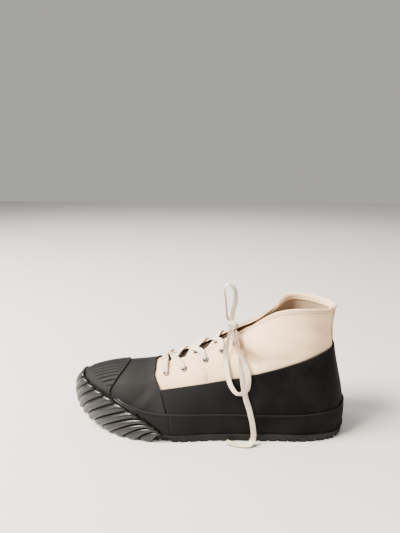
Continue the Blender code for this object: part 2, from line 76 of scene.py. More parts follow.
SECTION_COLUMNS = (
    "aim", "foot_x", "foot_lateral", "foot_medial", "rise", "flare",
    "edge_x", "edge_lateral", "edge_medial", "height_lateral", "height_medial",
    "reach_lateral", "reach_medial", "drop_lateral", "drop_medial",
)
SECTIONS = {
    "heel": (0, 137.5, 0, 0, 42, 13.5, 128, 0, 0, 133.5, 133.5, -14.5, -14.5, 40, 40),
    "heel_side": (45, 127.5, 22, 22, 42, 8, 119.5, 17, 17, 133.8, 134, -3, -3, 38, 38),
    "counter": (82, 101, 31.5, 30.5, 42, 5, 99, 27.5, 28, 136.5, 135, 3, 3, 40, 40),
    "ankle": (90, 70, 34, 29, 42, 5, 81, 27, 24, 135.2, 134, 5, 6, 42, 36),
    "collar": (90, 47, 36, 27.5, 42, 6, 65, 18.5, 1, 127.5, 124.8, 8, 22, 32, 4),
    "corner": (90, 24, 38, 28.5, 42, 6, 47, 5, -7.5, 110.5, 114.5, 18, 26, 17, -11),
    "instep": (92, 0, 41, 31.5, 40, 6, 23, 4.5, 0, 96, 100.5, 20, 24, 12, 2),
    "waist": (95, -20, 44.5, 38, 36, 6, -14, 10, 8.5, 76.5, 78.5, 21, 22, 10, 10),
    "ball": (112, -40, 46.5, 44.5, 34, 6, -43, 9.5, 9, 66, 66, 26, 22, 8, 8),
    "vamp": (122, -76, 44, 47.5, 32, 7, -46.5, 6, 6, 65.5, 65, 31, 28, 9, 14),
    "toe_side": (138, -107, 32.5, 41, 37, 8, -48, 4, 4, 65, 64.7, 42, 38, 12, 17),
    "toe_corner": (160, -130, 16, 28, 42, 12, -49, 2, 2.2, 64.8, 64.6, 54, 51, 15, 18),
    "toe": (180, -140, -6, 6, 44, 15, -49.3, 0, 0, 64.7, 64.7, 62, 62, 17, 17),
}
TOE = len(SECTIONS) - 1
TURN = 2 * TOE
VAMP_SEAM = list(SECTIONS).index("ball")
EYELETS = ((7.75, 15.5), (7.2, 14.5), (6.6, 14.0), (6.15, 13.5), (5.7, 12.0))


def spring(x):
    """How high the sole's underside lies at x, which is nothing behind the ball."""
    past = np.maximum(0.0, SPRING_STARTS_X - x) / (SPRING_STARTS_X - TOE_X)
    return TOE_SPRING * past * past


def smooth(value):
    """0 to 1 with a soft start and end."""
    value = np.clip(value, 0.0, 1.0)
    return value * value * (3 - 2 * value)


def between(low, high, share):
    return low + (high - low) * share


def hump(distance, width):
    """1 at no distance, falling away over about a width."""
    return np.exp(-(distance / width) ** 2)


def unit(vectors):
    """Vectors made one long."""
    return vectors / np.linalg.norm(vectors, axis=-1, keepdims=True)


def travelled(points):
    """How far along a line each of its points lies."""
    return np.concatenate([[0], np.cumsum(np.linalg.norm(np.diff(points, axis=0), axis=1))])


def read_off(at, given, rows):
    """Rows of numbers that are known at the given stops, read off at other stops."""
    return np.stack([np.interp(at, given, column) for column in np.asarray(rows, float).T], axis=1)


def through(a, b, c, d, f):
    """The smooth line from b to c at the share f, where a comes before and d after them."""
    return 0.5 * (2 * b + (c - a) * f + (2 * a - 5 * b + 4 * c - d) * f**2 + (3 * (b - c) + d - a) * f**3)


def section_ring():
    """The four handles of every section, round the shoe from the heel."""
    ring = []
    for turn in range(TURN):
        medial = turn > TOE
        name = "medial" if medial else "lateral"
        side = 1 if medial else -1
        s = dict(zip(SECTION_COLUMNS, list(SECTIONS.values())[TURN - turn if medial else turn]))
        aim = math.radians(s["aim"])
        outward = np.array([math.cos(aim), side * math.sin(aim), 0.0])
        foot = np.array([s["foot_x"], side * s["foot_" + name], spring(s["foot_x"])])
        edge = np.array([s["edge_x"], side * s["edge_" + name], s["height_" + name]])
        swell = foot + outward * s["flare"] + np.array([0, 0, s["rise"]])
        approach = edge + outward * s["reach_" + name] - np.array([0, 0, s["drop_" + name]])
        ring.append((foot, swell, approach, edge))
    return np.array(ring)


RING = section_ring()


def handles(turn):
    """The section's four points at each turn of an array, with the points on the second last axis."""
    turn = np.asarray(turn, float)
    first = np.floor(turn).astype(int)
    return through(*(RING[(first + k) % TURN] for k in (-1, 0, 1, 2)), (turn - first)[..., None, None])


def bare(turn, climb):
    """Points of the canvas's outer face."""
    turn, climb = np.broadcast_arrays(np.asarray(turn, float), np.asarray(climb, float))
    points = handles(turn)
    c = climb[..., None]
    back = 1 - c
    return (back**3 * points[..., 0, :] + 3 * back**2 * c * points[..., 1, :]
            + 3 * back * c**2 * points[..., 2, :] + c**3 * points[..., 3, :])


def outward(turn, climb):
    """The directions in which the canvas faces."""
    step = 0.01
    along = bare(turn + step, climb) - bare(turn - step, climb)
    up = bare(turn, climb + step) - bare(turn, climb - step)
    return unit(np.cross(up, along))


def last(turn, climb, lift=0.0):
    """Points of the canvas's outer face, moved outwards by lift."""
    turn = np.asarray(turn, float)
    climb = np.asarray(climb, float)
    return bare(turn, climb) + np.asarray(lift, float)[..., None] * outward(turn, climb)


def first_climb(turn, gauge, lift=0.0):
    """The lowest climb of each section at which gauge(points) passes zero."""
    turn = np.asarray(turn, float)
    steps = np.linspace(0, 1, 161)
    flat = turn.reshape(-1)
    lift = np.broadcast_to(np.asarray(lift, float), turn.shape).reshape(-1, 1)
    value = gauge(last(flat[:, None], steps, lift))
    over = value > 0
    over[:, -1] = True
    at = np.maximum(over.argmax(axis=1), 1)
    row = np.arange(flat.size)
    low, high = value[row, at - 1], value[row, at]
    share = np.clip(low / np.where(low == high, 1, low - high), 0, 1)
    return (steps[at - 1] + share * (steps[1] - steps[0])).reshape(turn.shape)


# ---------------------------------------------------------------- lines drawn on the last
def sole_line(turn, lift=0.0):
    """Where everything over the outsole begins."""
    return first_climb(turn, lambda p: p[..., 2] - spring(p[..., 0]) - SOLE_THICKNESS - GAP, lift)


def tread_line(turn, lift=0.0):
    """Where the bumper's foot ends, just over the floor."""
    return first_climb(turn, lambda p: p[..., 2] - spring(p[..., 0]) - BUMPER_FOOT, lift)


def canvas_line(turn):
    """The side rubber's upper edge, which slopes up towards the heel and steepens on the way."""
    front_x, front_z, slope = -46, 48, 0.19
    steep_from, steep_over, steep_rise = 25, 100, 14.5
    return first_climb(turn, lambda p: p[..., 2] - front_z - slope * (p[..., 0] - front_x)
                       - steep_rise * smooth((p[..., 0] - steep_from) / steep_over))


def foxing_line(turn):
    """The band's upper edge, level along the side and curving up towards toe and heel."""
    level = 29
    toe_from, toe_over, toe_rise = -43, 53, 12
    heel_from, heel_over, heel_rise = 50, 90, 4.5

    def gauge(p):
        toe = toe_rise * (np.maximum(0.0, toe_from - p[..., 0]) / toe_over) ** 2
        heel = heel_rise * (np.maximum(0.0, p[..., 0] - heel_from) / heel_over) ** 2
        return p[..., 2] - level - toe - heel
    return first_climb(turn, gauge)


def bumper_line(turn):
    """The bumper's upper edge, from the floor beside the foot up to the toe, lower on the medial side."""
    foot_z, from_x, over, bend = 3, -38, 107, 0.62
    rise, medial_drop, drop_over = 39.5, 3, 20

    def gauge(p):
        ahead = np.clip((from_x - p[..., 0]) / over, 0, 1)
        high = rise - medial_drop * smooth(p[..., 1] / drop_over)
        return p[..., 2] - foot_z - high * np.sin(math.pi / 2 * ahead) ** bend
    return first_climb(turn, gauge)


def cap_line(turn):
    """The toe cap's back edge, whose corners lie farther forward than its middle."""
    middle_x, bow, half_width, bend = -85.5, 11.5, 30, 2.2
    return first_climb(turn, lambda p: p[..., 0] - middle_x
                       + bow * np.minimum(np.abs(p[..., 1]) / half_width, 1) ** bend)


def vamp_line(turn):
    """The vamp's upper edge, which rises steeply from the side seam and runs level over the foot."""
    start_bend, level_bend = 0.52, 2.15
    corner = canvas_line(np.where(turn < TOE, float(VAMP_SEAM), float(TURN - VAMP_SEAM)))
    ahead = np.clip(1 - np.abs(turn - TOE) / (TOE - VAMP_SEAM), 0, 1)
    return corner + (VAMP_TOP - corner) * (1 - (1 - ahead ** start_bend) ** level_bend)


def rubber_line(turn):
    """Where the canvas comes out from under the rubber, all round."""
    round_turn = np.mod(turn, TURN)
    on_vamp = (round_turn > VAMP_SEAM) & (round_turn < TURN - VAMP_SEAM)
    return np.where(on_vamp, vamp_line(round_turn), canvas_line(round_turn))


def seam_climb(turn, gap=SEAM_GAP):
    """How much climb a gap takes near the sole."""
    points = handles(turn)
    return gap / (3 * np.linalg.norm(points[..., 1, :] - points[..., 0, :], axis=-1))


def climb_in(turn, distance):
    """The climb of a line that runs at a distance in from the top edge."""
    points = handles(turn)
    return 1 - distance / (3 * np.linalg.norm(points[..., 3, :] - points[..., 2, :], axis=-1))


def eyelet_spot(pair, medial):
    """The turn and climb of an eyelet, found by its distance from the throat's edge."""
    turn, in_from_edge = EYELETS[pair]
    turn = TURN - turn if medial else turn
    climbs = np.arange(1.0, 0.3, -0.002)
    points = bare(np.full(climbs.size, turn), climbs)
    return turn, float(climbs[np.searchsorted(travelled(points), in_from_edge)])


EYELET_ORDER = [(pair, medial) for medial in (False, True) for pair in range(len(EYELETS))]


# ---------------------------------------------------------------- sizes and colours a user may change
def millimetres(name, description, default, low, high):
    return bpy.props.FloatProperty(name=name, description=description, default=default * MM, min=low * MM,
                                   max=high * MM, unit="LENGTH", precision=4)


def colour(name, description, default):
    return bpy.props.FloatVectorProperty(name=name, description=description, default=default, size=3,
                                         min=0.0, max=1.0, subtype="COLOR")


class SneakerSizes(bpy.types.PropertyGroup):
    weave_pitch: millimetres("Weave pitch", "Distance between two threads of the canvas", 0.95, 0.3, 3)
    hem_width: millimetres("Hem width", "Width of the turned edge round throat and collar", 5.0, 2, 12)
    hem_rise: millimetres("Hem rise", "How far the turned edge stands over the canvas", 0.5, 0, 1.5)
    stitch_length: millimetres("Stitch length", "Length of one stitch", 2.1, 0.8, 5)
    stitch_pitch: millimetres("Stitch pitch", "Distance from stitch to stitch", 2.9, 1, 8)
    lace_width: millimetres("Lace width", "Width of the flat lace", 6.5, 3, 10)
    lace_thickness: millimetres("Lace thickness", "Thickness of the flat lace", 1.2, 0.5, 3)
    cap_rib_rise: millimetres("Cap rib rise", "Height of the fine ribs on the toe cap", 0.6, 0.1, 1.0)


class SneakerColours(bpy.types.PropertyGroup):
    canvas: colour("Canvas", "Undyed cotton canvas", (0.99, 0.69, 0.43))
    lace: colour("Lace", "Natural cotton lace", (1.0, 0.88, 0.70))
    thread: colour("Thread", "Stitching thread", (0.30, 0.20, 0.11))
    side_rubber: colour("Side rubber", "Rubber of the side wall and the band", (0.0034, 0.0034, 0.0035))
    vamp_rubber: colour("Vamp rubber", "Rubber over the forefoot", (0.0088, 0.0090, 0.0092))
    bumper_rubber: colour("Bumper rubber", "Glossier rubber of the ribbed bumper", (0.0060, 0.0061, 0.0062))
    # Lighter colour for the rubber pieces' edges and for the sole line.
    edge_rubber: colour("Rubber edge", "Worn and cut edges of the rubber", (0.022, 0.0215, 0.0215))
    # Painted shade: the lining is the same canvas as the outside, coloured a darker brown for the shade
    # inside the shoe.
    lining: colour("Lining", "Inside of the canvas", (0.34, 0.24, 0.155))
    # Painted shade: the tongue's cloth is coloured near-black brown for the shade deep inside the throat.
    tongue: colour("Tongue", "Brown cloth of the tongue", (0.028, 0.016, 0.011))
    insole: colour("Insole", "Cloth over the insole", (0.36, 0.26, 0.17))
    eyelet: colour("Eyelet", "Dulled nickel", (0.13, 0.12, 0.11))
    floor: colour("Floor", "Plain studio floor", (0.60, 0.59, 0.57))


# ---------------------------------------------------------------- materials
class Shading:
    """A material's nodes, with short ways to add to them."""

    def __init__(self, name):
        self.material = bpy.data.materials.new(name)
        self.material.use_nodes = True
        self.nodes = self.material.node_tree.nodes
        self.links = self.material.node_tree.links
        self.shader = self.nodes["Principled BSDF"]

    def feed(self, socket, value):
        """Link an output to a socket, or set a number or a colour on it."""
        if isinstance(value, bpy.types.NodeSocket):
            self.links.new(value, socket)
        else:
            socket.default_value = (*value, 1) if isinstance(value, tuple) else value

    def add(self, kind, output, inputs, **settings):
        made = self.nodes.new(kind)
        for name, value in settings.items():
            setattr(made, name, value)
        for name, value in inputs.items():
            self.feed(made.inputs[name], value)
        return made.outputs[output]

    def finish(self, **inputs):
        """Feed the shader's own inputs, with _ for a space in their names, and hand over the material."""
        for name, value in inputs.items():
            self.feed(self.shader.inputs[name.replace("_", " ")], value)
        return self.material

    def where(self, kind="Object"):
        return self.add("ShaderNodeTexCoord", kind, {})

    def axes(self, vector):
        return [self.add("ShaderNodeSeparateXYZ", axis, {0: vector}) for axis in ("X", "Y")]

    def trim(self):
        return self.add("ShaderNodeAttribute", "Fac", {}, attribute_name="trim")

    def noise(self, scale, detail):
        return self.add("ShaderNodeTexNoise", "Fac", {
            "Vector": self.where(), "Scale": scale, "Detail": detail})

    def ramp(self, factor, low, high, start=0.35, end=0.65):
        made = self.nodes.new("ShaderNodeValToRGB")
        for stop, position, shade in zip(made.color_ramp.elements, (start, end), (low, high)):
            stop.position = position
            stop.color = (*shade, 1)
        self.links.new(factor, made.inputs["Fac"])
        return made.outputs["Color"]

    def math(self, operation, *values):
        return self.add("ShaderNodeMath", 0, dict(enumerate(values)), operation=operation)

    def mix(self, factor, low, high):
        return self.add("ShaderNodeMix", 2, {"Factor": factor, 6: low, 7: high}, data_type="RGBA")

    def remap(self, value, low, high, new_low, new_high):
        return self.add("ShaderNodeMapRange", "Result", {
            "Value": value, "From Min": low, "From Max": high, "To Min": new_low, "To Max": new_high})

    def bump(self, height, strength, distance):
        return self.add("ShaderNodeBump", "Normal", {
            "Strength": strength, "Distance": distance, "Height": height})


def darker(colour, share):
    """A share of a colour, or more than all of it."""
    return tuple(share * value for value in colour)


def cloth_material(name, base, pitch, strength, diagonal, painted_shade):
    """Woven cloth: threads over and under on the piece's own UV map, with uneven dyeing.

    The nearer the trim attribute is to 1, the more it takes the colour of painted shade, if there is one.
    """
    shading = Shading(name)
    waves = 2 * math.pi * MM / pitch
    warp, weft = (shading.math("MULTIPLY", axis, waves) for axis in shading.axes(shading.where("UV")))
    if diagonal:
        weft = shading.math("ADD", weft, warp)
    threads = shading.math("MULTIPLY", shading.math("SINE", warp), shading.math("SINE", weft))
    slubs = shading.noise(900.0, 2.0)
    dyeing = shading.noise(28.0, 5.0)
    tone = shading.ramp(dyeing, darker(base, 0.86), base)
    gaps = 0.12
    shaded = shading.math("MULTIPLY_ADD", threads, gaps, gaps)
    woven = shading.mix(shaded, tone, darker(base, 0.70))
    if painted_shade is not None:
        woven = shading.mix(shading.trim(), woven, painted_shade)
    return shading.finish(Base_Color=woven, Roughness=0.92, Sheen_Weight=0.04, Specular_IOR_Level=0.25,
                          Normal=shading.bump(shading.math("ADD", threads, slubs), strength, 0.0003))


def rubber_material(name, base, edge, roughness, shine, grain, lighter_ahead, dull_grooves):
    """Vulcanised rubber: a faint moulded grain, uneven gloss, bloom in patches and lighter edges.

    The trim attribute is 1 on an edge, which is lighter, and -1 deep in a groove, which is darkened as
    painted shade, and dull too where asked. A shine that is the same all over stays a plain number. Ahead of
    the middle of the shoe the rubber grows lighter_ahead times as light.
    """
    shading = Shading(name)
    fine = shading.noise(1400.0, 2.0)
    broad = shading.noise(35.0, 6.0)
    bloom = tuple(min(1.0, 1.5 * value + 0.004) for value in base)
    tone = shading.ramp(broad, base, bloom, 0.4, 0.75)
    # Lighter towards the toe, ahead of the middle of the shoe.
    if lighter_ahead > 1:
        lighter_from_x, lighter_to_x = 0.05, -0.04
        ahead = shading.remap(shading.axes(shading.where())[0], lighter_from_x, lighter_to_x, 0.0, 1.0)
        tone = shading.mix(ahead, tone, darker(base, lighter_ahead))
    trim = shading.trim()
    edged = shading.mix(trim, tone, edge)
    # Painted shade in the grooves, darkest where the trim is -1.
    hollow = shading.math("MULTIPLY", trim, -1.0)
    return shading.finish(
        Base_Color=shading.mix(hollow, edged, darker(base, 0.12)),
        Specular_IOR_Level=shading.remap(trim, -1.0, 0.0, 0.0, shine) if dull_grooves else shine,
        Roughness=shading.remap(broad, 0.0, 1.0, roughness - 0.06, roughness + 0.10),
        Normal=shading.bump(fine, grain, 0.0002))


def metal_material(name, base):
    """Plated metal, tarnished in patches."""
    shading = Shading(name)
    tarnish = shading.noise(500.0, 4.0)
    return shading.finish(Base_Color=shading.ramp(tarnish, darker(base, 0.45), base), Metallic=1.0,
                          Roughness=0.36, Normal=shading.bump(tarnish, 0.15, 0.0001))


# Colours are named after a user's colour, or given in full.
CLOTHS = {  # name, colour, share of the weave's pitch, relief, whether it runs askew, colour of its painted shade
    "canvas": ("canvas cloth", "canvas", 1.0, 0.5, False, "side_rubber"),
    "lining": ("lining cloth", "lining", 1.0, 0.3, False, None),
    "tongue": ("tongue cloth", "tongue", 1.0, 0.4, False, None),
    "insole": ("insole cloth", "insole", 0.8, 0.35, True, None),
    "lace": ("lace braid", "lace", 1.1, 0.8, True, (0.5, 0.36, 0.23)),
    "thread": ("thread", "thread", 0.4, 0.3, False, None),
}
# name, colour, share of it, edges, roughness, shine, grain, how many times as light ahead, dull grooves
RUBBERS = {
    "side": ("side rubber", "side_rubber", 1.0, "edge_rubber", 0.6, 0.035, 0.25, 3.2, False),
    "vamp": ("vamp rubber", "vamp_rubber", 1.0, "edge_rubber", 0.58, 0.05, 0.25, 1.0, False),
    "bumper": ("bumper rubber", "bumper_rubber", 1.0, "edge_rubber", 0.3, 0.42, 0.25, 1.0, True),
    "cap": ("cap rubber", "vamp_rubber", 1.0, "edge_rubber", 0.54, 0.07, 0.25, 1.0, True),
    "line": ("sole line rubber", "edge_rubber", 0.55, (0.01, 0.01, 0.01), 0.6, 0.1, 0.25, 1.0, False),
    "tread": ("tread rubber", "side_rubber", 1.0, "edge_rubber", 0.58, 0.2, 0.5, 1.0, False),
    "midsole": ("midsole sponge", (0.05, 0.048, 0.045), 1.0, (0.1, 0.1, 0.1), 0.8, 0.2, 0.6, 1.0, False),
}
MATERIALS = {}


def user_colour(value):
    """The colour that a name stands for; what isn't a name stays as it is."""
    return tuple(getattr(bpy.context.scene.sneaker_colours, value)) if isinstance(value, str) else value


def finish_named(slot):
    """The finish of a kind of piece, made once."""
    if slot in MATERIALS:
        return MATERIALS[slot]
    if slot in CLOTHS:
        name, base, share, relief, diagonal, painted_shade = CLOTHS[slot]
        pitch = share * bpy.context.scene.sneaker_sizes.weave_pitch
        made = cloth_material(name, user_colour(base), pitch, relief, diagonal, user_colour(painted_shade))
    elif slot in RUBBERS:
        name, base, share, edge, *looks = RUBBERS[slot]
        made = rubber_material(name, darker(user_colour(base), share), user_colour(edge), *looks)
    else:
        made = metal_material("eyelet nickel", user_colour("eyelet"))
    MATERIALS[slot] = made
    return made


# ---------------------------------------------------------------- making pieces
def settle(name, bm, finish, replaced=()):
    """Turn a bmesh, in millimetres, into a piece that rides on the shoe."""
    bmesh.ops.scale(bm, vec=(MM, MM, MM), verts=bm.verts)
    mesh = bpy.data.meshes.new(name)
    bm.to_mesh(mesh)
    bm.free()
    mesh.polygons.foreach_set("use_smooth", [True] * len(mesh.polygons))
    piece = bpy.data.objects.new(name, mesh)
    mesh.materials.append(finish_named(finish))
    bpy.context.scene.collection.objects.link(piece)
    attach(piece, BODY)
    if replaced:
        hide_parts(*replaced)
    return piece


def grown_lengths(points, axis):
    """How far each point of a grid lies from its first edge along an axis."""
    steps = np.linalg.norm(np.diff(points, axis=axis), axis=2)
    zero = np.zeros_like(np.take(steps, [0], axis=axis))
    return np.concatenate([zero, np.cumsum(steps, axis=axis)], axis=axis)


def to_top(weft):
    """How far each point of a grid lies from its top edge."""
    return weft[:, -1:] - weft


def from_sides(warp):
    """How far each point of a grid lies from the nearer one of its two sides."""
    return np.minimum(warp, warp[-1:, :] - warp)


def draped_grid(columns, rows, place, trim=None, flip=True):
    """A grid shaped by place(across, up), with a UV map in millimetres of cloth and a trim attribute."""
    across, up = np.meshgrid(np.linspace(0, 1, columns + 1), np.linspace(0, 1, rows + 1), indexing="ij")
    points = place(across, up)
    warp = grown_lengths(points, 0)[:, rows // 2][:, None] * np.ones((1, rows + 1))
    weft = grown_lengths(points, 1)
    shade = np.zeros_like(across) if trim is None else trim(across, up, weft)
    bm = bmesh.new()
    bmesh.ops.create_grid(bm, x_segments=columns, y_segments=rows, size=0.5)
    uv = bm.loops.layers.uv.new("cloth")
    trim_layer = bm.verts.layers.float.new("trim")
    where = {}
    for vertex in bm.verts:
        where[vertex] = (round((vertex.co.x + 0.5) * columns), round((vertex.co.y + 0.5) * rows))
    for vertex, (i, j) in where.items():
        vertex.co = points[i, j]
        vertex[trim_layer] = shade[i, j]
    for face in bm.faces:
        for loop in face.loops:
            i, j = where[loop.vert]
            loop[uv].uv = (warp[i, j], weft[i, j])
    if flip:
        bmesh.ops.reverse_faces(bm, faces=bm.faces)
    bmesh.ops.remove_doubles(bm, verts=bm.verts, dist=1e-4)
    return bm


def thicken(piece, wall):
    """Give a sheet a wall, which grows inwards."""
    wall_of = piece.modifiers.new("wall", "SOLIDIFY")
    wall_of.thickness = wall * MM
    wall_of.offset = -1
    return wall_of


def face_up(bm):
    """Turn a sheet over where most of it faces down."""
    if sum(face.normal.z for face in bm.faces) < 0:
        bmesh.ops.reverse_faces(bm, faces=bm.faces)


EDGE_ROUND = 1.3


def rounded(distance, radius=EDGE_ROUND):
    """0 at an edge, rising like a quarter circle to 1 at radius in from it."""
    inside = np.clip(distance / radius, 0, 1)
    return np.sqrt(np.maximum(0.0, 1 - (1 - inside) ** 2))


def packed(values, near=0.12, power=2.2):
    """Spread 0 to 1 so that rows crowd towards both ends, where the edges are rounded."""
    centred = 2 * values - 1
    return 0.5 + 0.5 * ((1 - near) * np.sign(centred) * (1 - (1 - np.abs(centred)) ** power) + near * centred)


def rubber_sheet(name, middle, half, columns, rows, bottom, top, lift, wall, finish, replaced, trim_top=0.0,
                 slant=0.0, relief=None, shade=None):
    """A rubber piece between two lines on the last, thin at its rounded edges.

    It reaches by half to each side of the turn in its middle, and by slant further at its foot. relief gives
    what stands over its face, and shade the painted shade in its hollows, from the turn, the climb, the place
    and how far that lies from the foot. Without a shade its upper edge is lighter, over trim_top or as a
    thin line.
    """
    skin, relief_round, column_near, column_power = 0.5, 2.0, 0.9, 1.2
    edge_light, line_light, line_width = 0.75, 0.12, 0.6

    def lay(across, up):
        turn = middle + (2 * packed(across, column_near, column_power) - 1) * (half + slant * (1 - up))
        low = bottom(turn[:, 0])[:, None]
        high = np.maximum(top(turn[:, -1])[:, None], low + 0.002)
        climb = between(low, high, packed(up))
        return turn, climb, last(turn, climb, lift)

    def place(across, up):
        turn, climb, face = lay(across, up)
        weft = grown_lengths(face, 1)
        edge = np.minimum(np.minimum(weft, to_top(weft)), from_sides(grown_lengths(face, 0)))
        thick = skin + (wall - skin) * rounded(edge)
        if relief is not None:
            thick = thick + relief(turn, climb, face, weft) * rounded(edge, relief_round)
        return last(turn, climb, lift + thick)

    def trim(across, up, weft):
        if shade is not None:
            return -shade(*lay(across, up), weft)
        if trim_top:
            return edge_light * hump(to_top(weft), trim_top)
        return line_light * (to_top(weft) < line_width)

    bm = draped_grid(columns, rows, place, trim)
    piece = settle(name, bm, finish, replaced)
    thicken(piece, skin)
    return piece


# ---------------------------------------------------------------- creases
CREASE_COLUMNS = ("side", "from_x", "from_z", "to_x", "to_z", "width", "height")
CANVAS_CREASES = (
    (-1, 28, 97, 37, 87, 6.0, -4.2),
    (-1, 37, 87, 50, 81, 6.0, -4.6),
    (-1, 50, 81, 76, 77, 6.5, -3.4),
    (-1, 44, 98, 74, 92, 9.0, 2.6),
    (-1, 26, 82, 44, 72, 6.0, 1.2),
    (-1, 78, 124, 106, 113, 8.0, -1.2),
    (-1, 88, 105, 118, 101, 7.0, 0.8),
    (-1, 112, 118, 124, 100, 5.0, -1.2),
    (-1, -14, 66, 4, 60, 5.0, 0.5),
    (-1, 12, 76, 26, 66, 5.0, -0.7),
    (1, 30, 104, 58, 80, 6.0, -1.6),
    (1, 42, 104, 70, 84, 6.0, 1.0),
    (1, 70, 118, 100, 110, 8.0, -0.6),
    (1, 0, 80, 20, 70, 5.0, -0.5),
)
VAMP_CREASES = (
    (-1, -70, 27, -50, 43, 3.2, 0.7),
    (-1, -76, 31, -56, 49, 3.6, -0.6),
    (1, -72, 29, -52, 44, 3.4, 0.6),
    (1, -79, 33, -58, 50, 3.6, -0.5),
)


def creases(points, table):
    """The height of soft troughs and ridges that run from one place to another on a side of the shoe."""
    height = np.zeros(points.shape[:-1])
    flat = points[..., (0, 2)]
    for row in table:
        c = dict(zip(CREASE_COLUMNS, row))
        start = np.array([c["from_x"], c["from_z"]], float)
        run = np.array([c["to_x"], c["to_z"]], float) - start
        share = np.clip(((flat - start) @ run) / (run @ run), 0, 1)
        off = np.linalg.norm(flat - start - share[..., None] * run, axis=-1)
        fade = 0.55 + 0.45 * np.sin(math.pi * share)
        here = smooth(c["side"] * points[..., 1] / 6)
        height = height + here * fade * c["height"] * hump(off, c["width"])
    return height


# ---------------------------------------------------------------- canvas pieces
FRONT_SEAM_TOP = 6.94  # turn of the facing's seam at the throat
FRONT_SEAM_FOOT = 6.3  # and where it goes under the rubber


def front_seam(climb, foot):
    """The turn of the facing's seam at a climb, where foot is the climb at which the rubber covers it."""
    return between(FRONT_SEAM_FOOT, FRONT_SEAM_TOP, np.clip((climb - foot) / (1 - foot), 0, 1))


FACING_LIFT = 0.45  # how far the facing stands over the rest of the canvas
STRIP_LIFT = 0.55 + GAP  # how far the heel strip's edges do


def cut_eyelets(bm):
    """Open a hole through the canvas under each ring, with its edge under the ring's flange."""
    edge, spread = 2.9, 6.0
    for pair, medial in EYELET_ORDER:
        spot = eyelet_spot(pair, medial)
        middle, out = Vector(last(*spot, FACING_LIFT)), Vector(outward(*spot))
        near = [vertex for vertex in bm.verts if (vertex.co - middle).length < spread]
        centre = min(near, key=lambda vertex: (vertex.co - middle).length)
        around = {vertex for face in centre.link_faces for vertex in face.verts}
        for vertex in near:
            high = (vertex.co - middle).dot(out)
            off = vertex.co - middle - high * out
            moved_out = max(edge + 0.1, between(edge - 0.8, spread, off.length / spread))
            vertex.co = middle + off.normalized() * (edge if vertex in around else moved_out) + high * out
        bmesh.ops.delete(bm, geom=[centre], context="VERTS")


def make_canvas():
    """The upper, with hems, creases, a raised facing and open eyelets; its inside is the lining."""
    s = bpy.context.scene.sneaker_sizes
    hem, rise = s.hem_width / MM, s.hem_rise / MM
    hem_step, rim_round, seam_fade = 1.2, 0.9, 0.05
    crease_starts, ripple_starts, frees_over = 14, 30, 0.10  # in from the rim, and up from the rubber
    # Painted contact shadow along the rubber's edge: the climb over the edge where it ends and the climb over
    # which it fades in; and the crease depth at which the painted shade is darkest.
    seam_shade, seam_shade_over, deepest_crease = 0.008, 0.02, 4.5

    def lay(across, up):
        turn = across * TURN
        column = turn[:, 0]
        climb = between(sole_line(column)[:, None], 1.0, 1 - (1 - up) ** 1.25)
        return turn, climb, last(turn, climb), rubber_line(column)[:, None]

    def place(across, up):
        turn, climb, face, foot = lay(across, up)
        to_edge = to_top(grown_lengths(face, 1))
        free = smooth((climb - foot) / frees_over)
        lift = creases(face, CANVAS_CREASES) * free * smooth(to_edge / crease_starts)
        lift = lift + rise * smooth((hem - to_edge) / hem_step) * free
        side = np.where(turn > TOE, TURN - turn, turn)
        ahead = smooth((side - front_seam(climb, foot)) / seam_fade)
        lift = lift + FACING_LIFT * ahead * free * (side < TOE - 1)
        lift = lift - 0.7 * (1 - rounded(to_edge, rim_round))
        x, z = face[..., 0], face[..., 2]
        ripple = 0.35 * np.sin(x / 11 + z / 17) * np.sin(z / 13 - x / 29)
        return last(turn, climb, (lift + ripple * smooth(to_edge / ripple_starts)) * free)

    def trim(across, up, weft):
        """Painted shade: 1 under the rubber and fading out just over its edge as a painted contact shadow,
        and up to half that deep as painted shade in a crease.
        """
        _, climb, face, foot = lay(across, up)
        contact_shade = np.clip((foot + seam_shade - climb) / seam_shade_over, 0, 1)
        crease_shade = np.clip(-creases(face, CANVAS_CREASES) / deepest_crease, 0, 1)
        return np.maximum(contact_shade, 0.5 * crease_shade ** 1.5)

    bm = draped_grid(14 * TURN, 76, place, trim)
    cut_eyelets(bm)
    piece = settle("canvas_upper", bm, "canvas", ("upper",))
    piece.data.materials.append(finish_named("lining"))
    thicken(piece, CANVAS_WALL).material_offset = 1


def make_collar_binding():
    """A bound edge inside the collar, with its fold just under the rim."""
    ends_turn, foot_in, fold_in, wall = 4.9, 7.0, 0.6, 0.45

    def place(across, up):
        turn = between(-ends_turn, ends_turn, across)
        column = turn[:, 0]
        climb = between(climb_in(column, foot_in)[:, None], climb_in(column, fold_in)[:, None], up)
        weft = grown_lengths(last(turn, climb), 1)
        edge = np.minimum(weft, to_top(weft))
        return last(turn, climb, -(CANVAS_WALL + 0.15 + 0.55 * rounded(edge, 0.8)))

    thicken(settle("collar_binding", draped_grid(220, 10, place, flip=False), "canvas"), wall)


def make_heel_strip():
    """The strip that covers the seam up the back."""
    half_turn, over_rubber, under_rim, wall = 0.335, 0.012, 1.0, 0.5

    def place(across, up):
        turn = (2 * across - 1) * half_turn
        low = canvas_line(turn[:, 0])[:, None] + over_rubber
        high = climb_in(turn[:, 0], under_rim)[:, None]
        climb = between(low, high, up)
        edge = from_sides(grown_lengths(last(turn, climb), 0))
        return last(turn, climb, STRIP_LIFT + 0.7 * rounded(edge, 1.0))

    piece = settle("heel_canvas_strip", draped_grid(16, 40, place), "canvas", ("heel_strip",))
    thicken(piece, wall)


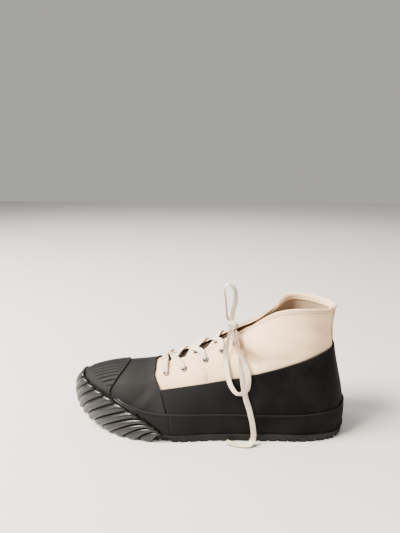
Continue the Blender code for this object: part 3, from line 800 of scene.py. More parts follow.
def make_tongue():
    """The tongue lies under both edges of the throat and bridges it."""
    collar_turn, toe_turn, wall = 5 + 2 / 3, 9.0, 1.3
    lift = -(CANVAS_WALL + 1.0)
    tucked_in = 0.09  # how much climb of the canvas it lies under on each side

    def place(across, up):
        turn = between(collar_turn, toe_turn, across)
        far = np.abs(2 * up - 1)
        climb = np.where(far > 0.5, 1 - (far - 0.5) * 2 * tucked_in, 1.0)
        share = np.clip((up - 0.25) / 0.5, 0, 1)[..., None]
        return last(turn, climb, lift) * (1 - share) + last(TURN - turn, climb, lift) * share

    bm = draped_grid(48, 28, place, flip=False)
    bmesh.ops.recalc_face_normals(bm, faces=bm.faces)
    face_up(bm)
    thicken(settle("canvas_tongue", bm, "tongue", ("tongue",)), wall)


def make_insole():
    """The cloth-covered insole, a little dished, between the upper's two walls."""
    midsole, sheet, from_wall, dish, wall = 4.4, 2.6, 1.6, 1.1, 2.0
    height = SOLE_THICKNESS + GAP + midsole + GAP + sheet

    def wall_point(turn):
        climb = first_climb(turn, lambda p: p[..., 2] - spring(p[..., 0]) - height)
        return last(turn, climb, -(CANVAS_WALL + from_wall))

    def place(across, up):
        turn = 0.06 + across * (TOE - 0.12)
        lateral, medial = wall_point(turn), wall_point(TURN - turn)
        made = lateral * (1 - up)[..., None] + medial * up[..., None]
        risen = dish * np.abs(2 * up - 1) ** 4 * np.sin(math.pi * np.clip(across, 0.02, 0.98)) ** 0.3
        made[..., 2] = spring(made[..., 0]) + height - 0.6 + risen
        return made

    bm = draped_grid(120, 30, place, flip=False)
    face_up(bm)
    thicken(settle("cloth_insole", bm, "insole", ("insole",)), wall)


# ---------------------------------------------------------------- rubber pieces
def make_side_rubber():
    """The wall from the sole to its sloping top, round the heel from one seam with the vamp to the other."""
    rubber_sheet("side_wall_rubber", 0.0, VAMP_SEAM, 340, 34, sole_line, canvas_line,
                 RUBBER_LIFT, RUBBER_WALL, "side", ("side_rubber",), trim_top=0.5, slant=-SEAM_SLANT)


def make_vamp_rubber():
    """The smooth rubber over the forefoot, with a low rim along its back edge and two creases a side."""
    rim_in, rim_width, rim_rise, creases_from = 2.6, 1.1, 0.35, 8

    def bottom(turn):
        return sole_line(turn, RUBBER_LIFT)

    def relief(turn, climb, face, weft):
        to_back = to_top(weft)
        rim = rim_rise * hump(to_back - rim_in, rim_width)
        return creases(face, VAMP_CREASES) * smooth(to_back / creases_from) + rim

    rubber_sheet("vamp_cover_rubber", TOE, TOE - VAMP_SEAM, 240, 60, bottom, vamp_line,
                 RUBBER_LIFT, RUBBER_WALL - 0.2, "vamp", ("vamp_rubber",), slant=SEAM_SLANT, relief=relief)


def make_foxing():
    """The band over the sole, with a bead and a dip along its top and a tip that ends beside the bumper."""
    reach, tip = VAMP_SEAM + 1.75, 0.7
    bead_in, bead_width, bead_rise = 1.6, 0.9, 0.35
    dip_in, dip_width, dip_depth = 3.8, 0.8, 0.2
    joint_turn, joint_width, joint_depth = VAMP_SEAM - 0.75 * SEAM_SLANT, 0.04, 0.5

    def bottom(turn):
        stands = sole_line(turn, OVER_RUBBER)
        over = bumper_line(turn) + seam_climb(turn)
        return np.where(np.abs(turn) < VAMP_SEAM, stands, np.maximum(stands, over))

    def top(turn):
        return between(bottom(turn), foxing_line(turn), smooth((reach - np.abs(turn)) / tip))

    def relief(turn, climb, face, weft):
        inwards = to_top(weft)
        joint = joint_depth * hump(np.abs(turn) - joint_turn, joint_width) * smooth(inwards / 2)
        bead = bead_rise * hump(inwards - bead_in, bead_width)
        return bead - dip_depth * hump(inwards - dip_in, dip_width) - joint

    rubber_sheet("foxing_band_rubber", 0.0, reach, 560, 24, bottom, top,
                 OVER_RUBBER, FOXING_WALL - 0.6, "side", ("foxing_band",), trim_top=0.6, relief=relief)


def rib_turn(rib, up):
    """The turn of a rib of the bumper: its foot and head are packed differently, so that it leans."""
    share = np.abs(rib) / BUMPER_RIBS
    foot = between(TOE, VAMP_SEAM + 0.3, share ** 1.3)
    lean = 1.38 + 0.6 * smooth((share - 0.3) / 0.45)
    head = between(VAMP_SEAM + 0.04, TOE, (1 - share) ** lean)
    turn = between(foot, head, up)
    return np.where(rib >= 0, turn, TURN - turn)


def make_bumper():
    """Ribs like overlapping scales that lean back beside the foot, with rounded heads and scalloped feet."""
    columns_per_rib, height, head_round, scallop, skin = 14, 40, 3.0, 1.6, 0.5
    groove_wall, groove_shade, shade_ends = 0.2, 1.1, 2.6
    lift = OVER_RUBBER + CURVE_ALLOWANCE
    rib_wall = BUMPER_GROOVE + BUMPER_RIB - skin

    def ribs(across):
        """The rib at each place, and 0 in a groove to 1 on the crest, which lies nearer to its upper side."""
        rib = (2 * across - 1) * BUMPER_RIBS
        skewed = (np.abs(rib) % 1.0) ** 1.25
        return rib, smooth((np.sin(math.pi * skewed) - 0.03) / 1.1) ** 0.72

    def place(across, up):
        rib, full = ribs(across)
        turn = rib_turn(rib, up)
        trimmed = seam_climb(turn, scallop) * (1 - full)
        low = tread_line(turn, lift + BUMPER_GROOVE) + 0.5 * trimmed
        climb = between(low, bumper_line(turn) - trimmed, up)
        ends = rounded(np.minimum(up, 1 - up) * height, head_round)
        return last(turn, climb, lift + skin + between(groove_wall, rib_wall, full) * ends)

    # Painted shade: the grooves between the ribs are darkened.
    def trim(across, up, weft):
        return -np.clip(groove_shade - shade_ends * ribs(across)[1], 0, 1)

    bm = draped_grid(2 * BUMPER_RIBS * columns_per_rib, 30, place, trim)
    thicken(settle("toe_bumper_ribs", bm, "bumper", ("toe_bumper",)), skin)


def make_bumper_rim():
    """Two short beads that run out between the ribs' heads and the band, on each side."""
    bm = bmesh.new()
    lift = OVER_RUBBER + CURVE_ALLOWANCE + 0.9
    for over, from_turn, to_turn in ((1.0, 8.75, 9.75), (3.2, 8.7, 9.65)):
        for medial in (False, True):
            turn = np.linspace(from_turn, to_turn, 7)
            turn = TURN - turn if medial else turn
            climb = bumper_line(turn) + seam_climb(turn, over)
            line, passed = curve_through(last(turn, climb, lift), 90)
            full = np.sin(math.pi * np.clip(passed, 0.01, 0.99)) ** 0.4
            ribbon(bm, line, spread_over(outward(turn, climb), passed), 1.5 * full, 1.7 * full)
    settle("toe_bumper_rim", bm, "bumper")


def make_sole_line():
    """The thin lighter line where the band meets the outsole."""
    ends_turn, out, over, width, thickness = 8.3, 1.5, 0.35, 1.6, 0.7
    turn = np.linspace(-ends_turn, ends_turn, 300)
    line = last(turn, sole_line(turn, OVER_RUBBER), OVER_RUBBER + out)
    line[:, 2] = spring(line[:, 0]) + SOLE_THICKNESS + over
    bm = bmesh.new()
    ribbon(bm, line, UP, width, thickness)
    settle("outsole_line", bm, "line")


def make_toe_cap():
    """The cap, with narrow grooves between flat ribs that run along the shoe."""
    rib_pitch, groove_width, smooth_back, smooth_front, front_over = 4.5, 0.75, 1.2, 3, 9
    rib_rise = bpy.context.scene.sneaker_sizes.cap_rib_rise / MM

    def bottom(turn):
        return bumper_line(turn) + seam_climb(turn, CAP_SEAM_GAP)

    def top(turn):
        return np.maximum(cap_line(turn), bottom(turn) + seam_climb(turn, CAP_CORNER))

    def groove(turn, climb, face, weft):
        """1 in the middle of a groove, away from the cap's smooth rims."""
        off = np.abs((face[..., 1] / rib_pitch) % 1.0 - 0.5) * rib_pitch
        inside = smooth((to_top(weft) - smooth_back) / 2.0) * smooth((weft - smooth_front) / front_over)
        return hump(off, groove_width) * inside

    # Painted shade darkens the grooves between the cap's ribs.
    rubber_sheet("toe_cap_ribs", TOE, TOE - VAMP_SEAM - 2.0, 300, 110, bottom, top,
                 OVER_RUBBER, CAP_WALL - 0.1, "cap", ("toe_cap",),
                 relief=lambda *place: -rib_rise * groove(*place), shade=lambda *place: 0.7 * groove(*place))


# ---------------------------------------------------------------- eyelets
def make_eyelets():
    """Rolled rings: a rounded flange outside, a barrel through the canvas and a splayed back."""
    profile = (  # radius and height of each corner of the ring's section
        (1.9, -2.3), (1.9, 0.5), (2.1, 0.9), (2.5, 1.1), (2.9, 1.0), (3.2, 0.7), (3.3, 0.35),
        (2.5, 0.3), (2.4, 0.2), (2.4, -2.3))
    for pair, medial in EYELET_ORDER:
        bm = bmesh.new()
        corners = [bm.verts.new((radius, 0, height)) for radius, height in profile]
        edges = [bm.edges.new((corners[k - 1], corners[k])) for k in range(len(corners))]
        bmesh.ops.spin(bm, geom=corners + edges, cent=(0, 0, 0), axis=(0, 0, 1), angle=2 * math.pi,
                       steps=28, use_merge=True)
        bmesh.ops.remove_doubles(bm, verts=bm.verts, dist=1e-4)
        bmesh.ops.recalc_face_normals(bm, faces=bm.faces)
        spot = eyelet_spot(pair, medial)
        turned = Vector(outward(*spot)).to_track_quat("Z", "Y").to_matrix().to_4x4()
        turned.translation = Vector(last(*spot, FACING_LIFT))
        bmesh.ops.transform(bm, matrix=turned, verts=bm.verts)
        side = "medial" if medial else "lateral"
        settle(f"ring_{side}_{pair + 1}", bm, "eyelet", (f"eyelet_{side}_{pair + 1}",))


# ---------------------------------------------------------------- stitches
def stitch_row(bm, turns, climbs, lift):
    """Small raised stitches along a line on the last."""
    s = bpy.context.scene.sneaker_sizes
    pitch, length = s.stitch_pitch / MM, s.stitch_length / MM
    size = Matrix.Diagonal((length / 2, 0.45, 0.36, 1))
    count = 900
    turn, climb = read_off(np.linspace(0, 1, count), np.linspace(0, 1, len(turns)),
                           np.stack([turns, climbs], axis=1)).T
    points, outs = last(turn, climb, lift), outward(turn, climb)
    gone = travelled(points)
    for at in np.arange(pitch, gone[-1] - pitch / 2, pitch):
        k = min(max(int(np.searchsorted(gone, at)), 1), count - 2)
        along = Vector(points[k + 1] - points[k - 1]).normalized()
        out = Vector(outs[k])
        side = out.cross(along).normalized()
        turned = Matrix((along, side, out)).transposed().to_4x4()
        turned.translation = Vector(points[k])
        bmesh.ops.create_icosphere(bm, subdivisions=1, radius=1.0, matrix=turned @ size)


def make_stitches():
    """Two rows each along the rim, beside the facing's seam and beside the heel strip, on both sides."""
    rise = bpy.context.scene.sneaker_sizes.hem_rise / MM
    over, count = 0.15, 80
    rim_insets, seam_offsets, heel_turns = (1.8, 3.9), (0.03, 0.12), (0.19, 0.28)
    foot = float(canvas_line(FRONT_SEAM_FOOT))
    heel_foot = float(canvas_line(0.0))
    bm = bmesh.new()
    for medial in (False, True):
        for inset in rim_insets:
            turns = np.linspace(0.5, 7.95, 200)
            turns = TURN - turns if medial else turns
            stitch_row(bm, turns, climb_in(turns, inset), rise + over)
        for offset in seam_offsets:
            climbs = np.linspace(foot + 0.005, 0.955, count)
            turns = front_seam(climbs, foot) + offset * np.linspace(0.6, 1.0, count)
            stitch_row(bm, TURN - turns if medial else turns, climbs, FACING_LIFT + over)
        for turn in heel_turns:
            turns = np.full(count, TURN - turn if medial else turn)
            stitch_row(bm, turns, np.linspace(heel_foot + 0.03, 0.96, count), STRIP_LIFT + 0.75)
    settle("canvas_stitches", bm, "thread")


# ---------------------------------------------------------------- laces
CURVE_STEPS = 16  # between two points that a line goes through
LACE_CLEAR = 1.9  # how far the middle of a strand lies over the canvas
UP = np.array([0.0, 0.0, 1.0])


def curve_through(points, count):
    """A smooth line through the given points, at even steps, and how far along the points each step is."""
    points = np.asarray(points, float)
    ends = np.vstack([2 * points[0] - points[1], points, 2 * points[-1] - points[-2]])
    line, passed = [], []
    for k in range(len(points) - 1):
        for f in np.linspace(0, 1, CURVE_STEPS, endpoint=False):
            line.append(through(*ends[k:k + 4], f))
            passed.append(k + f)
    line = np.array(line + [points[-1]])
    passed = np.array(passed + [len(points) - 1]) / (len(points) - 1)
    gone = travelled(line)
    at = np.linspace(0, gone[-1], count)
    return read_off(at, gone, line), np.interp(at, gone, passed)


def ribbon(bm, line, faces, width, thickness):
    """A flat lace along a line, in its width and thickness; it faces one way, or one at each point.

    Its section is a rounded box, and its ends are closed. What comes back is its length.
    """
    count, around = len(line), 20
    side_bend, face_bend = 0.55, 0.75  # 1 would be an ellipse, 0 a box
    edge_from, edge_shade, fold_shade, fold_width = 0.62, 0.75, 0.28, 0.16
    along = unit(np.gradient(line, axis=0))
    sides = unit(np.cross(faces, along))
    ups = np.cross(along, sides)
    open_to = np.ones(count)
    open_to[[0, -1]] = 0.0
    angle = np.linspace(0, 2 * math.pi, around + 1)
    wide = np.sign(np.cos(angle)) * np.abs(np.cos(angle)) ** side_bend
    high = np.sign(np.sin(angle)) * np.abs(np.sin(angle)) ** face_bend

    def place(across, up):
        return (line[:, None, :]
                + sides[:, None, :] * (0.5 * width * open_to)[:, None, None] * wide[None, :, None]
                + ups[:, None, :] * (0.5 * thickness * open_to)[:, None, None] * high[None, :, None])

    def trim(across, up, weft):
        """Painted shade, darker towards the edges and along the middle, where the braid folds."""
        to_edge = np.abs(wide)[None, :] * np.ones_like(across)
        edges = smooth((to_edge - edge_from) / (1 - edge_from))
        return edge_shade * edges + fold_shade * hump(to_edge, fold_width)

    made = draped_grid(count - 1, around, place, trim)
    mesh = bpy.data.meshes.new("ribbon")
    bmesh.ops.recalc_face_normals(made, faces=made.faces)
    made.to_mesh(mesh)
    made.free()
    bm.from_mesh(mesh)
    bpy.data.meshes.remove(mesh)
    return travelled(line)[-1]


def spread_over(stops, passed):
    """Directions given at even stops, at each step of a line that has passed a share of them."""
    return unit(read_off(passed, np.linspace(0, 1, len(stops)), stops))


def on_flap(pair, medial, in_from_edge, lift, toeward=0.0):
    """A place on the flap, in from the throat's edge at an eyelet and moved from there towards the toe."""
    turn, climb = eyelet_spot(pair, medial)
    step = 0.05
    wide = np.linalg.norm(bare(turn + step, climb) - bare(turn - step, climb)) / (2 * step)
    turn = turn + (-toeward if medial else toeward) / wide
    return last(turn, between(climb, 1.0, 1 - in_from_edge / EYELETS[pair][-1]), lift)


def threaded(pair, medial, raised, toeward):
    """The stops of a strand from inside an eyelet up over the flap, and its width and thickness at each."""
    deep = EYELETS[pair][-1]
    out = outward(*eyelet_spot(pair, medial))
    inwards = unit(on_flap(pair, medial, 0, 0, toeward) - on_flap(pair, medial, deep, 0))
    stops = (  # how far over the eyelet, how high, width, thickness, and how steeply the strand dives
        (0.6, -3.4, 2.6, 1.3, 1),
        (0.6, -0.6, 2.6, 1.3, 1),
        (1.0, 1.0, 3.0, 1.4, 0.85),
        (2.8, LACE_CLEAR, 4.8, 1.4, 0.35),
        (0.45 * deep, LACE_CLEAR + raised, 6.2, 1.2, 0),
        (0.75 * deep, LACE_CLEAR + raised + 0.2, 6.3, 1.2, 0),
    )
    points, faces, sizes = [], [], []
    for up, lift, width, thickness, diving in stops:
        points.append(on_flap(pair, medial, deep - up, lift, toeward * max(0.0, up - 0.6) / deep))
        faces.append((1 - diving) * out - diving * inwards)
        sizes.append((width, thickness))
    return points, faces, sizes


def tucked(pair, medial, raised):
    """The stops of a strand that comes out from under the edge of a flap."""
    under, at_edge = (1.6, -1.9), (0.2, -1.8 + raised)  # how far in from the edge, and how high
    near_top = 0.97
    out = outward(eyelet_spot(pair, medial)[0], near_top)
    points = [on_flap(pair, medial, *under), on_flap(pair, medial, *at_edge)]
    return points, [out, between(out, UP, 0.4)], [(5.6, 1.0), (6.0, 1.1)]


# The strands, toe to collar: the eyelet each dives into, and the edge or eyelet it comes from; how far it
# leans towards the toe on the flap, how high its middle bows, how far it is raised there, how far its middle
# is pulled heelwards, its twist and its share of the full width.
STRAND_COLUMNS = ("pair", "medial", "from_eyelet", "toeward", "bow", "raised", "heelwards", "twist", "width")
STRANDS = (
    (0, False, True, 5.5, 3.6, 2.1, -3.0, -0.2, 0.95),
    (1, False, False, 13.0, 2.8, 0.5, -3.0, -0.6, 1.05),
    (1, True, False, 6.0, 2.2, 0.3, 0.0, 0.5, 0.92),
    (2, False, False, 9.0, 4.0, 1.5, -3.0, 0.9, 0.98),
    (2, True, False, 6.0, 2.4, 0.3, -1.5, -0.5, 1.05),
    (3, False, False, 5.0, 3.6, 0.9, -1.8, 0.3, 1.0),
    (3, True, False, 6.0, 2.2, 0.3, 1.5, 0.6, 0.9),
)
STRAND_STEPS = 84
KNOT_STRANDS = (  # medial, toeward, place in the knot
    (False, 5.0, (24.0, -10.5, 108.2)),
    (True, 4.0, (28.0, -7.0, 109.0)),
)


def lay_strand(bm, points, faces, sizes, width_share):
    """A strand through its stops, whose middle has a share of the width they give."""
    line, passed = curve_through(points, STRAND_STEPS)
    width, thickness = read_off(passed, np.linspace(0, 1, len(points)), sizes).T
    width = width * between(1, width_share, smooth(np.sin(math.pi * passed) * 2))
    ribbon(bm, line, spread_over(faces, passed), width, thickness)


def make_crossings():
    """The strands that cross the tongue, and the two that run from the top eyelets into the knot."""
    crossing, into_knot, leans_to_bow = (6.4, 1.2), (4.0, 1.5), UP + (-0.3, -0.4, 0)
    nearer, bow_share, narrowed = 0.55, 0.6, 0.75
    over_edge, over_tongue = 0.4, 2.2
    bm = bmesh.new()
    for row in STRANDS:
        strand = dict(zip(STRAND_COLUMNS, row))
        pair, medial, raised, toeward = (strand[name] for name in ("pair", "medial", "raised", "toeward"))
        start = threaded(pair, medial, raised, toeward)
        if strand["from_eyelet"]:
            end = threaded(pair, not medial, raised, toeward)
        else:
            end = tucked(pair - 1, not medial, raised)
        near, far = on_flap(pair, medial, 0, over_tongue, toeward), end[0][-1]
        middle = nearer * near + (1 - nearer) * far + UP * strand["bow"] * bow_share
        middle = middle + (strand["heelwards"], 0, 0)
        edge = on_flap(pair, medial, 0.5, LACE_CLEAR + raised + over_edge, toeward)
        tipped = UP + (-strand["twist"], 0, 0)
        crosses = ([edge, middle], [between(start[1][-1], UP, 0.5), tipped], [crossing, crossing])
        stops = [first + then + back[::-1] for first, then, back in zip(start, crosses, end)]
        lay_strand(bm, *stops, strand["width"])
    for medial, toeward, knot_end in KNOT_STRANDS:
        points, faces, sizes = (stops[:5] for stops in threaded(len(EYELETS) - 1, medial, 0.4, toeward))
        sizes = [(narrowed * wide, thick) for wide, thick in sizes]
        lay_strand(bm, points + [np.array(knot_end)], faces + [leans_to_bow], sizes + [into_knot], 1.0)
    settle("laced_strands", bm, "lace", ("lace_crossings",))


# Routes of the bow and the free end, as in the part's source, in millimetres.
KNOT = ((21.6, -9.5, 110.8), (26, -9.5, 110.8), (30.4, -9.5, 110.8))
LOOP_UP = (
    (22.5, -9.5, 115), (20, -9.5, 120), (19.5, -9, 126), (19, -9, 132), (18.5, -8.5, 138),
    (17.5, -8.5, 144), (17.5, -8, 149.5), (20.5, -8, 153), (24.5, -8, 151.5), (27.5, -8.5, 147.5),
    (28.5, -8.5, 142), (28.5, -8.5, 136), (27.5, -9, 130.5), (26, -9, 125), (25.5, -9.5, 120),
    (26, -9.5, 115),
)
LOOP_DOWN = (
    (26.5, -12.5, 107), (27.5, -16.5, 102), (29, -20, 97), (31, -23, 92), (34, -26, 87),
    (37, -29, 82), (39.5, -32, 77), (41.5, -35, 72), (42.5, -37.5, 67), (42.5, -40, 62),
    (41, -41.5, 57), (37, -42, 53), (32, -41, 52), (28, -39, 55), (25, -37, 60), (23, -34, 65),
    (21.5, -31, 70), (20.5, -27.5, 75), (20, -24.5, 80), (20, -22, 86), (21, -20, 92),
    (22, -17, 98), (23, -14.5, 103), (23.5, -12.5, 107),
)
FREE_END = (
    (29.5, -11.5, 106), (30.5, -15, 100.5), (32, -18.5, 95), (33, -21.5, 89), (34, -25, 83),
    (35, -28, 77), (36, -31.5, 71), (37, -34.5, 65), (38, -37.5, 59), (39, -39, 53),
    (40.5, -40.5, 47), (42.5, -41.5, 41), (44.5, -42.5, 35), (46, -43.5, 29), (47.5, -44, 23),
    (48.5, -45, 17), (49, -46, 11), (48, -47.5, 5.5), (44.5, -49.5, 2), (39, -50, 1.5),
    (33, -49.5, 1.5), (27.5, -48.5, 2), (22.5, -47.5, 3),
)
# The ways the ribbons face, at even stops along their routes.
UP_FACES = (
    (-0.9, 0.4, 0), (-1, 0.3, 0), (-1, 0.25, 0), (-0.95, 0.1, 0.3), (0, -0.3, 1), (0.85, -0.7, 0.3),
    (0.45, -0.85, -0.15), (0.5, -0.85, -0.2), (0.4, -0.9, -0.1),
)
DOWN_FACES = (
    (1, -0.25, 0.1), (1, -0.3, 0.1), (0.8, -0.7, 0.1), (0.2, -0.95, 0.2), (0.3, -0.9, -0.2),
    (-0.2, -0.9, -0.5), (-0.5, -0.9, 0.1), (-0.3, -0.95, 0.1), (0.3, -0.95, 0), (0.8, -0.6, 0),
    (1, -0.3, 0.1),
)
FLOOR_CLEAR = 0.15


def free_ribbon(name, route, face_stops, replaced, far_end):
    """A part of the bow that hangs free, narrower where it is pulled into the knot."""
    s = bpy.context.scene.sneaker_sizes
    lace_width, lace_thickness = s.lace_width / MM, s.lace_thickness / MM
    knot_width, hanging_less, widens_over = 4.0, 0.8, 16
    count = 14 * len(route)
    line, passed = curve_through(route, count)
    near_knot = smooth(np.arange(count) / widens_over)
    if far_end == "object":
        near_knot = np.minimum(near_knot, near_knot[::-1])
    width = between(knot_width, lace_width - hanging_less, near_knot)
    bm = bmesh.new()
    long = ribbon(bm, line, spread_over(face_stops, passed), width, lace_thickness)
    for vertex in bm.verts:
        vertex.co.z = max(vertex.co.z, FLOOR_CLEAR)
    piece = settle(name, bm, "lace", replaced)


def make_knot():
    """The lace wrapped once over two tucked turns."""
    thickness = bpy.context.scene.sneaker_sizes.lace_thickness / MM
    radius, width, tuck_width, tuck_thickness = 2.7, 5.0, 4.4, 2.0
    middle = np.array(KNOT[1], float)
    angle = np.linspace(0.15, 2 * math.pi + 0.5, 46)
    ring = np.stack([0.9 * np.sin(angle / 2), radius * np.cos(angle), radius * np.sin(angle)], axis=1)
    outs = np.stack([0 * angle, np.cos(angle), np.sin(angle)], axis=1)
    bm = bmesh.new()
    ribbon(bm, middle + ring, outs, width, thickness)
    for offset, lean in ((-1.1, 0.4), (1.1, -0.4)):
        half = ((5.0, -lean, -offset), (1.5, 0.3, -0.6 * offset))
        near, far = (middle + np.array(half) * side for side in (1, -1))
        ribbon(bm, curve_through([*far, *near[::-1]], 30)[0], UP, tuck_width, tuck_thickness)
    return settle("bow_knot", bm, "lace", ("lace_knot",))


def make_bow():
    """The knot, the two loops, and the end that hangs edge-on, turns to the front and lies on the floor."""
    knot = make_knot()
    free_ribbon("bow_loop_up", LOOP_UP, UP_FACES, ("lace_loop_up",), "object")
    free_ribbon("bow_loop_down", LOOP_DOWN, DOWN_FACES, ("lace_loop_down",), "object")
    edge_on, forwards = np.array([1.0, -0.3, 0.1]), np.array([0.45, -1.0, 0.4])
    lies_z, lies_over, edge_on_z, edge_on_over = 2.2, 9, 72, 14
    end_faces = []
    for _, _, z in FREE_END:
        hanging = between(forwards, edge_on, smooth((z - edge_on_z) / edge_on_over))
        end_faces.append(between(hanging, UP, 1 - smooth((z - lies_z) / lies_over)))
    free_ribbon("lace_free_end", FREE_END, end_faces, ("lace_end",), "bare")


# ---------------------------------------------------------------- stage
AIMED_AT = (0, 0, 0.06)
LIGHTS = (  # name, place, size, power, colour
    ("window_light", (-0.95, -0.4, 1.3), 0.7, 150.0, (1.0, 0.92, 0.82)),
    ("rim_light", (-1.5, 0.8, 1.2), 0.6, 20.0, (1.0, 0.98, 0.95)),
    ("low_light", (-1.5, -0.35, 0.45), 0.7, 5.0, (1.0, 0.97, 0.93)),
    ("fill_light", (1.0, -1.3, 0.8), 1.4, 11.0, (1.0, 0.93, 0.85)),
    ("back_light", (0.3, 1.2, 1.2), 1.2, 10.0, (1.0, 0.96, 0.9)),
)
WORLD_COLOUR, WORLD_STRENGTH = (1.0, 0.985, 0.96), 0.45
FLOOR_HALF = 3.0  # metres
EYE, LOOKS_ALONG, LENS, SENSOR = (0.0308, -0.3919, 0.263), (-0.0966, 0.9676, -0.2334), 27.0, 36.0


def aimed(direction):
    """The rotation of a lamp or a camera that looks along a direction."""
    return Vector(direction).to_track_quat("-Z", "Y").to_euler()


def make_stage():
    """A plain pale floor, soft lights and a dim even world."""
    scene = bpy.context.scene
    bm = bmesh.new()
    bmesh.ops.create_grid(bm, x_segments=1, y_segments=1, size=FLOOR_HALF)
    mesh = bpy.data.meshes.new("studio_floor")
    bm.to_mesh(mesh)
    bm.free()
    mesh.materials.append(Shading("studio floor").finish(Base_Color=user_colour("floor"), Roughness=0.8))
    floor = bpy.data.objects.new("studio_floor", mesh)
    scene.collection.objects.link(floor)
    world = bpy.data.worlds.new("studio")
    world.use_nodes = True
    background = world.node_tree.nodes["Background"]
    background.inputs["Color"].default_value = (*WORLD_COLOUR, 1)
    background.inputs["Strength"].default_value = WORLD_STRENGTH
    scene.world = world
    for name, where, size, power, shade in LIGHTS:
        light = bpy.data.lights.new(name, "AREA")
        light.color = shade
        light.size = size
        light.energy = power
        lamp = bpy.data.objects.new(name, light)
        lamp.location = where
        lamp.rotation_euler = aimed(Vector(AIMED_AT) - Vector(where))
        scene.collection.objects.link(lamp)


def make_camera():
    """A camera beside the shoe and a little over it, which sees its lateral side."""
    lens = bpy.data.cameras.new("camera")
    lens.lens = LENS
    lens.sensor_width = SENSOR
    eye = bpy.data.objects.new("camera", lens)
    eye.location = EYE
    eye.rotation_euler = aimed(LOOKS_ALONG)
    bpy.context.scene.collection.objects.link(eye)
    bpy.context.scene.camera = eye


def dress_frame_nodes():
    """Give the outsole and the midsole, which stay as they are, their rubbers."""
    for node, finish in (("outsole", "tread"), ("midsole", "midsole")):
        shown = bpy.data.objects[node]
        shown.data.materials.clear()
        shown.data.materials.append(finish_named(finish))


# ---------------------------------------------------------------- operators, panel and run
class SNEAKER_OT_camera(bpy.types.Operator):
    """Place the camera"""
    bl_idname = "sneaker.camera"
    bl_label = "Camera"
    bl_options = {"REGISTER", "UNDO"}

    def execute(self, context):
        make_camera()
        return {"FINISHED"}


class SNEAKER_OT_bow(bpy.types.Operator):
    """Tie the bow and lay the free end"""
    bl_idname = "sneaker.bow"
    bl_label = "Bow and free end"
    bl_options = {"REGISTER", "UNDO"}

    def execute(self, context):
        make_bow()
        return {"FINISHED"}


class SNEAKER_OT_laces(bpy.types.Operator):
    """Thread the strands through the eyelets"""
    bl_idname = "sneaker.laces"
    bl_label = "Laced strands"
    bl_options = {"REGISTER", "UNDO"}

    def execute(self, context):
        make_crossings()
        return {"FINISHED"}


class SNEAKER_OT_canvas(bpy.types.Operator):
    """Sew the canvas upper, its heel strip and its collar binding"""
    bl_idname = "sneaker.canvas"
    bl_label = "Canvas"
    bl_options = {"REGISTER", "UNDO"}

    def execute(self, context):
        make_canvas()
        make_collar_binding()
        make_heel_strip()
        return {"FINISHED"}


class SNEAKER_OT_inside(bpy.types.Operator):
    """Lay the tongue and the insole"""
    bl_idname = "sneaker.inside"
    bl_label = "Tongue and insole"
    bl_options = {"REGISTER", "UNDO"}

    def execute(self, context):
        make_tongue()
        make_insole()
        return {"FINISHED"}


class SNEAKER_OT_side_rubber(bpy.types.Operator):
    """Mould the side wall, the vamp and the band"""
    bl_idname = "sneaker.side_rubber"
    bl_label = "Side rubber"
    bl_options = {"REGISTER", "UNDO"}

    def execute(self, context):
        make_side_rubber()
        make_vamp_rubber()
        make_foxing()
        return {"FINISHED"}


class SNEAKER_OT_toe(bpy.types.Operator):
    """Mould the ribbed bumper, its rim and the toe cap"""
    bl_idname = "sneaker.toe"
    bl_label = "Toe bumper and cap"
    bl_options = {"REGISTER", "UNDO"}

    def execute(self, context):
        make_bumper()
        make_bumper_rim()
        make_toe_cap()
        return {"FINISHED"}


class SNEAKER_OT_sole(bpy.types.Operator):
    """Finish the outsole, its line and the midsole"""
    bl_idname = "sneaker.sole"
    bl_label = "Sole"
    bl_options = {"REGISTER", "UNDO"}

    def execute(self, context):
        dress_frame_nodes()
        make_sole_line()
        return {"FINISHED"}


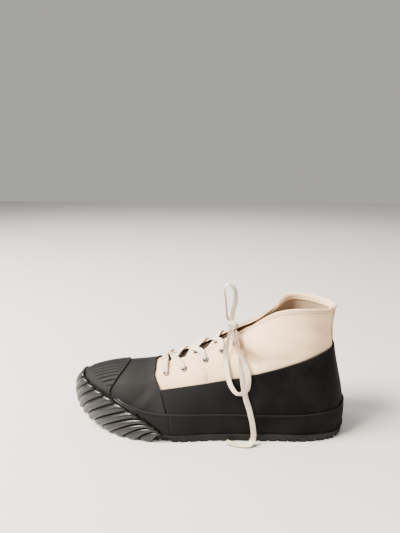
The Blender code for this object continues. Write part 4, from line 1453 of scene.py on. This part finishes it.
class SNEAKER_OT_eyelets(bpy.types.Operator):
    """Set the rings of the eyelets"""
    bl_idname = "sneaker.eyelets"
    bl_label = "Eyelets"
    bl_options = {"REGISTER", "UNDO"}

    def execute(self, context):
        make_eyelets()
        return {"FINISHED"}


class SNEAKER_OT_stitches(bpy.types.Operator):
    """Run the rows of stitches"""
    bl_idname = "sneaker.stitches"
    bl_label = "Stitches"
    bl_options = {"REGISTER", "UNDO"}

    def execute(self, context):
        make_stitches()
        return {"FINISHED"}


class SNEAKER_OT_stage(bpy.types.Operator):
    """Lay the floor and hang the lights"""
    bl_idname = "sneaker.stage"
    bl_label = "Stage"
    bl_options = {"REGISTER", "UNDO"}

    def execute(self, context):
        make_stage()
        return {"FINISHED"}


OPERATORS = (
    SNEAKER_OT_camera,
    SNEAKER_OT_bow,
    SNEAKER_OT_laces,
    SNEAKER_OT_canvas,
    SNEAKER_OT_inside,
    SNEAKER_OT_side_rubber,
    SNEAKER_OT_toe,
    SNEAKER_OT_sole,
    SNEAKER_OT_eyelets,
    SNEAKER_OT_stitches,
    SNEAKER_OT_stage,
)


class SNEAKER_PT_panel(bpy.types.Panel):
    """Sizes, colours and pieces of the sneaker."""
    bl_label = "Sneaker"
    bl_idname = "SNEAKER_PT_panel"
    bl_space_type = "VIEW_3D"
    bl_region_type = "UI"
    bl_category = "Sneaker"

    def draw(self, context):
        for group in (context.scene.sneaker_sizes, context.scene.sneaker_colours):
            for name in group.__annotations__:
                self.layout.prop(group, name)
        for made in OPERATORS:
            self.layout.operator(made.bl_idname)


CLASSES = (SneakerSizes, SneakerColours, *OPERATORS, SNEAKER_PT_panel)


def register():
    for made in CLASSES:
        bpy.utils.register_class(made)
    bpy.types.Scene.sneaker_sizes = bpy.props.PointerProperty(type=SneakerSizes)
    bpy.types.Scene.sneaker_colours = bpy.props.PointerProperty(type=SneakerColours)


def unregister():
    del bpy.types.Scene.sneaker_sizes
    del bpy.types.Scene.sneaker_colours
    for made in reversed(CLASSES):
        bpy.utils.unregister_class(made)


def main():
    """Register the add-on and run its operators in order."""
    register()
    for made in OPERATORS:
        getattr(bpy.ops.sneaker, made.bl_idname.split(".")[1])()


if __name__ == "__main__":
    main()
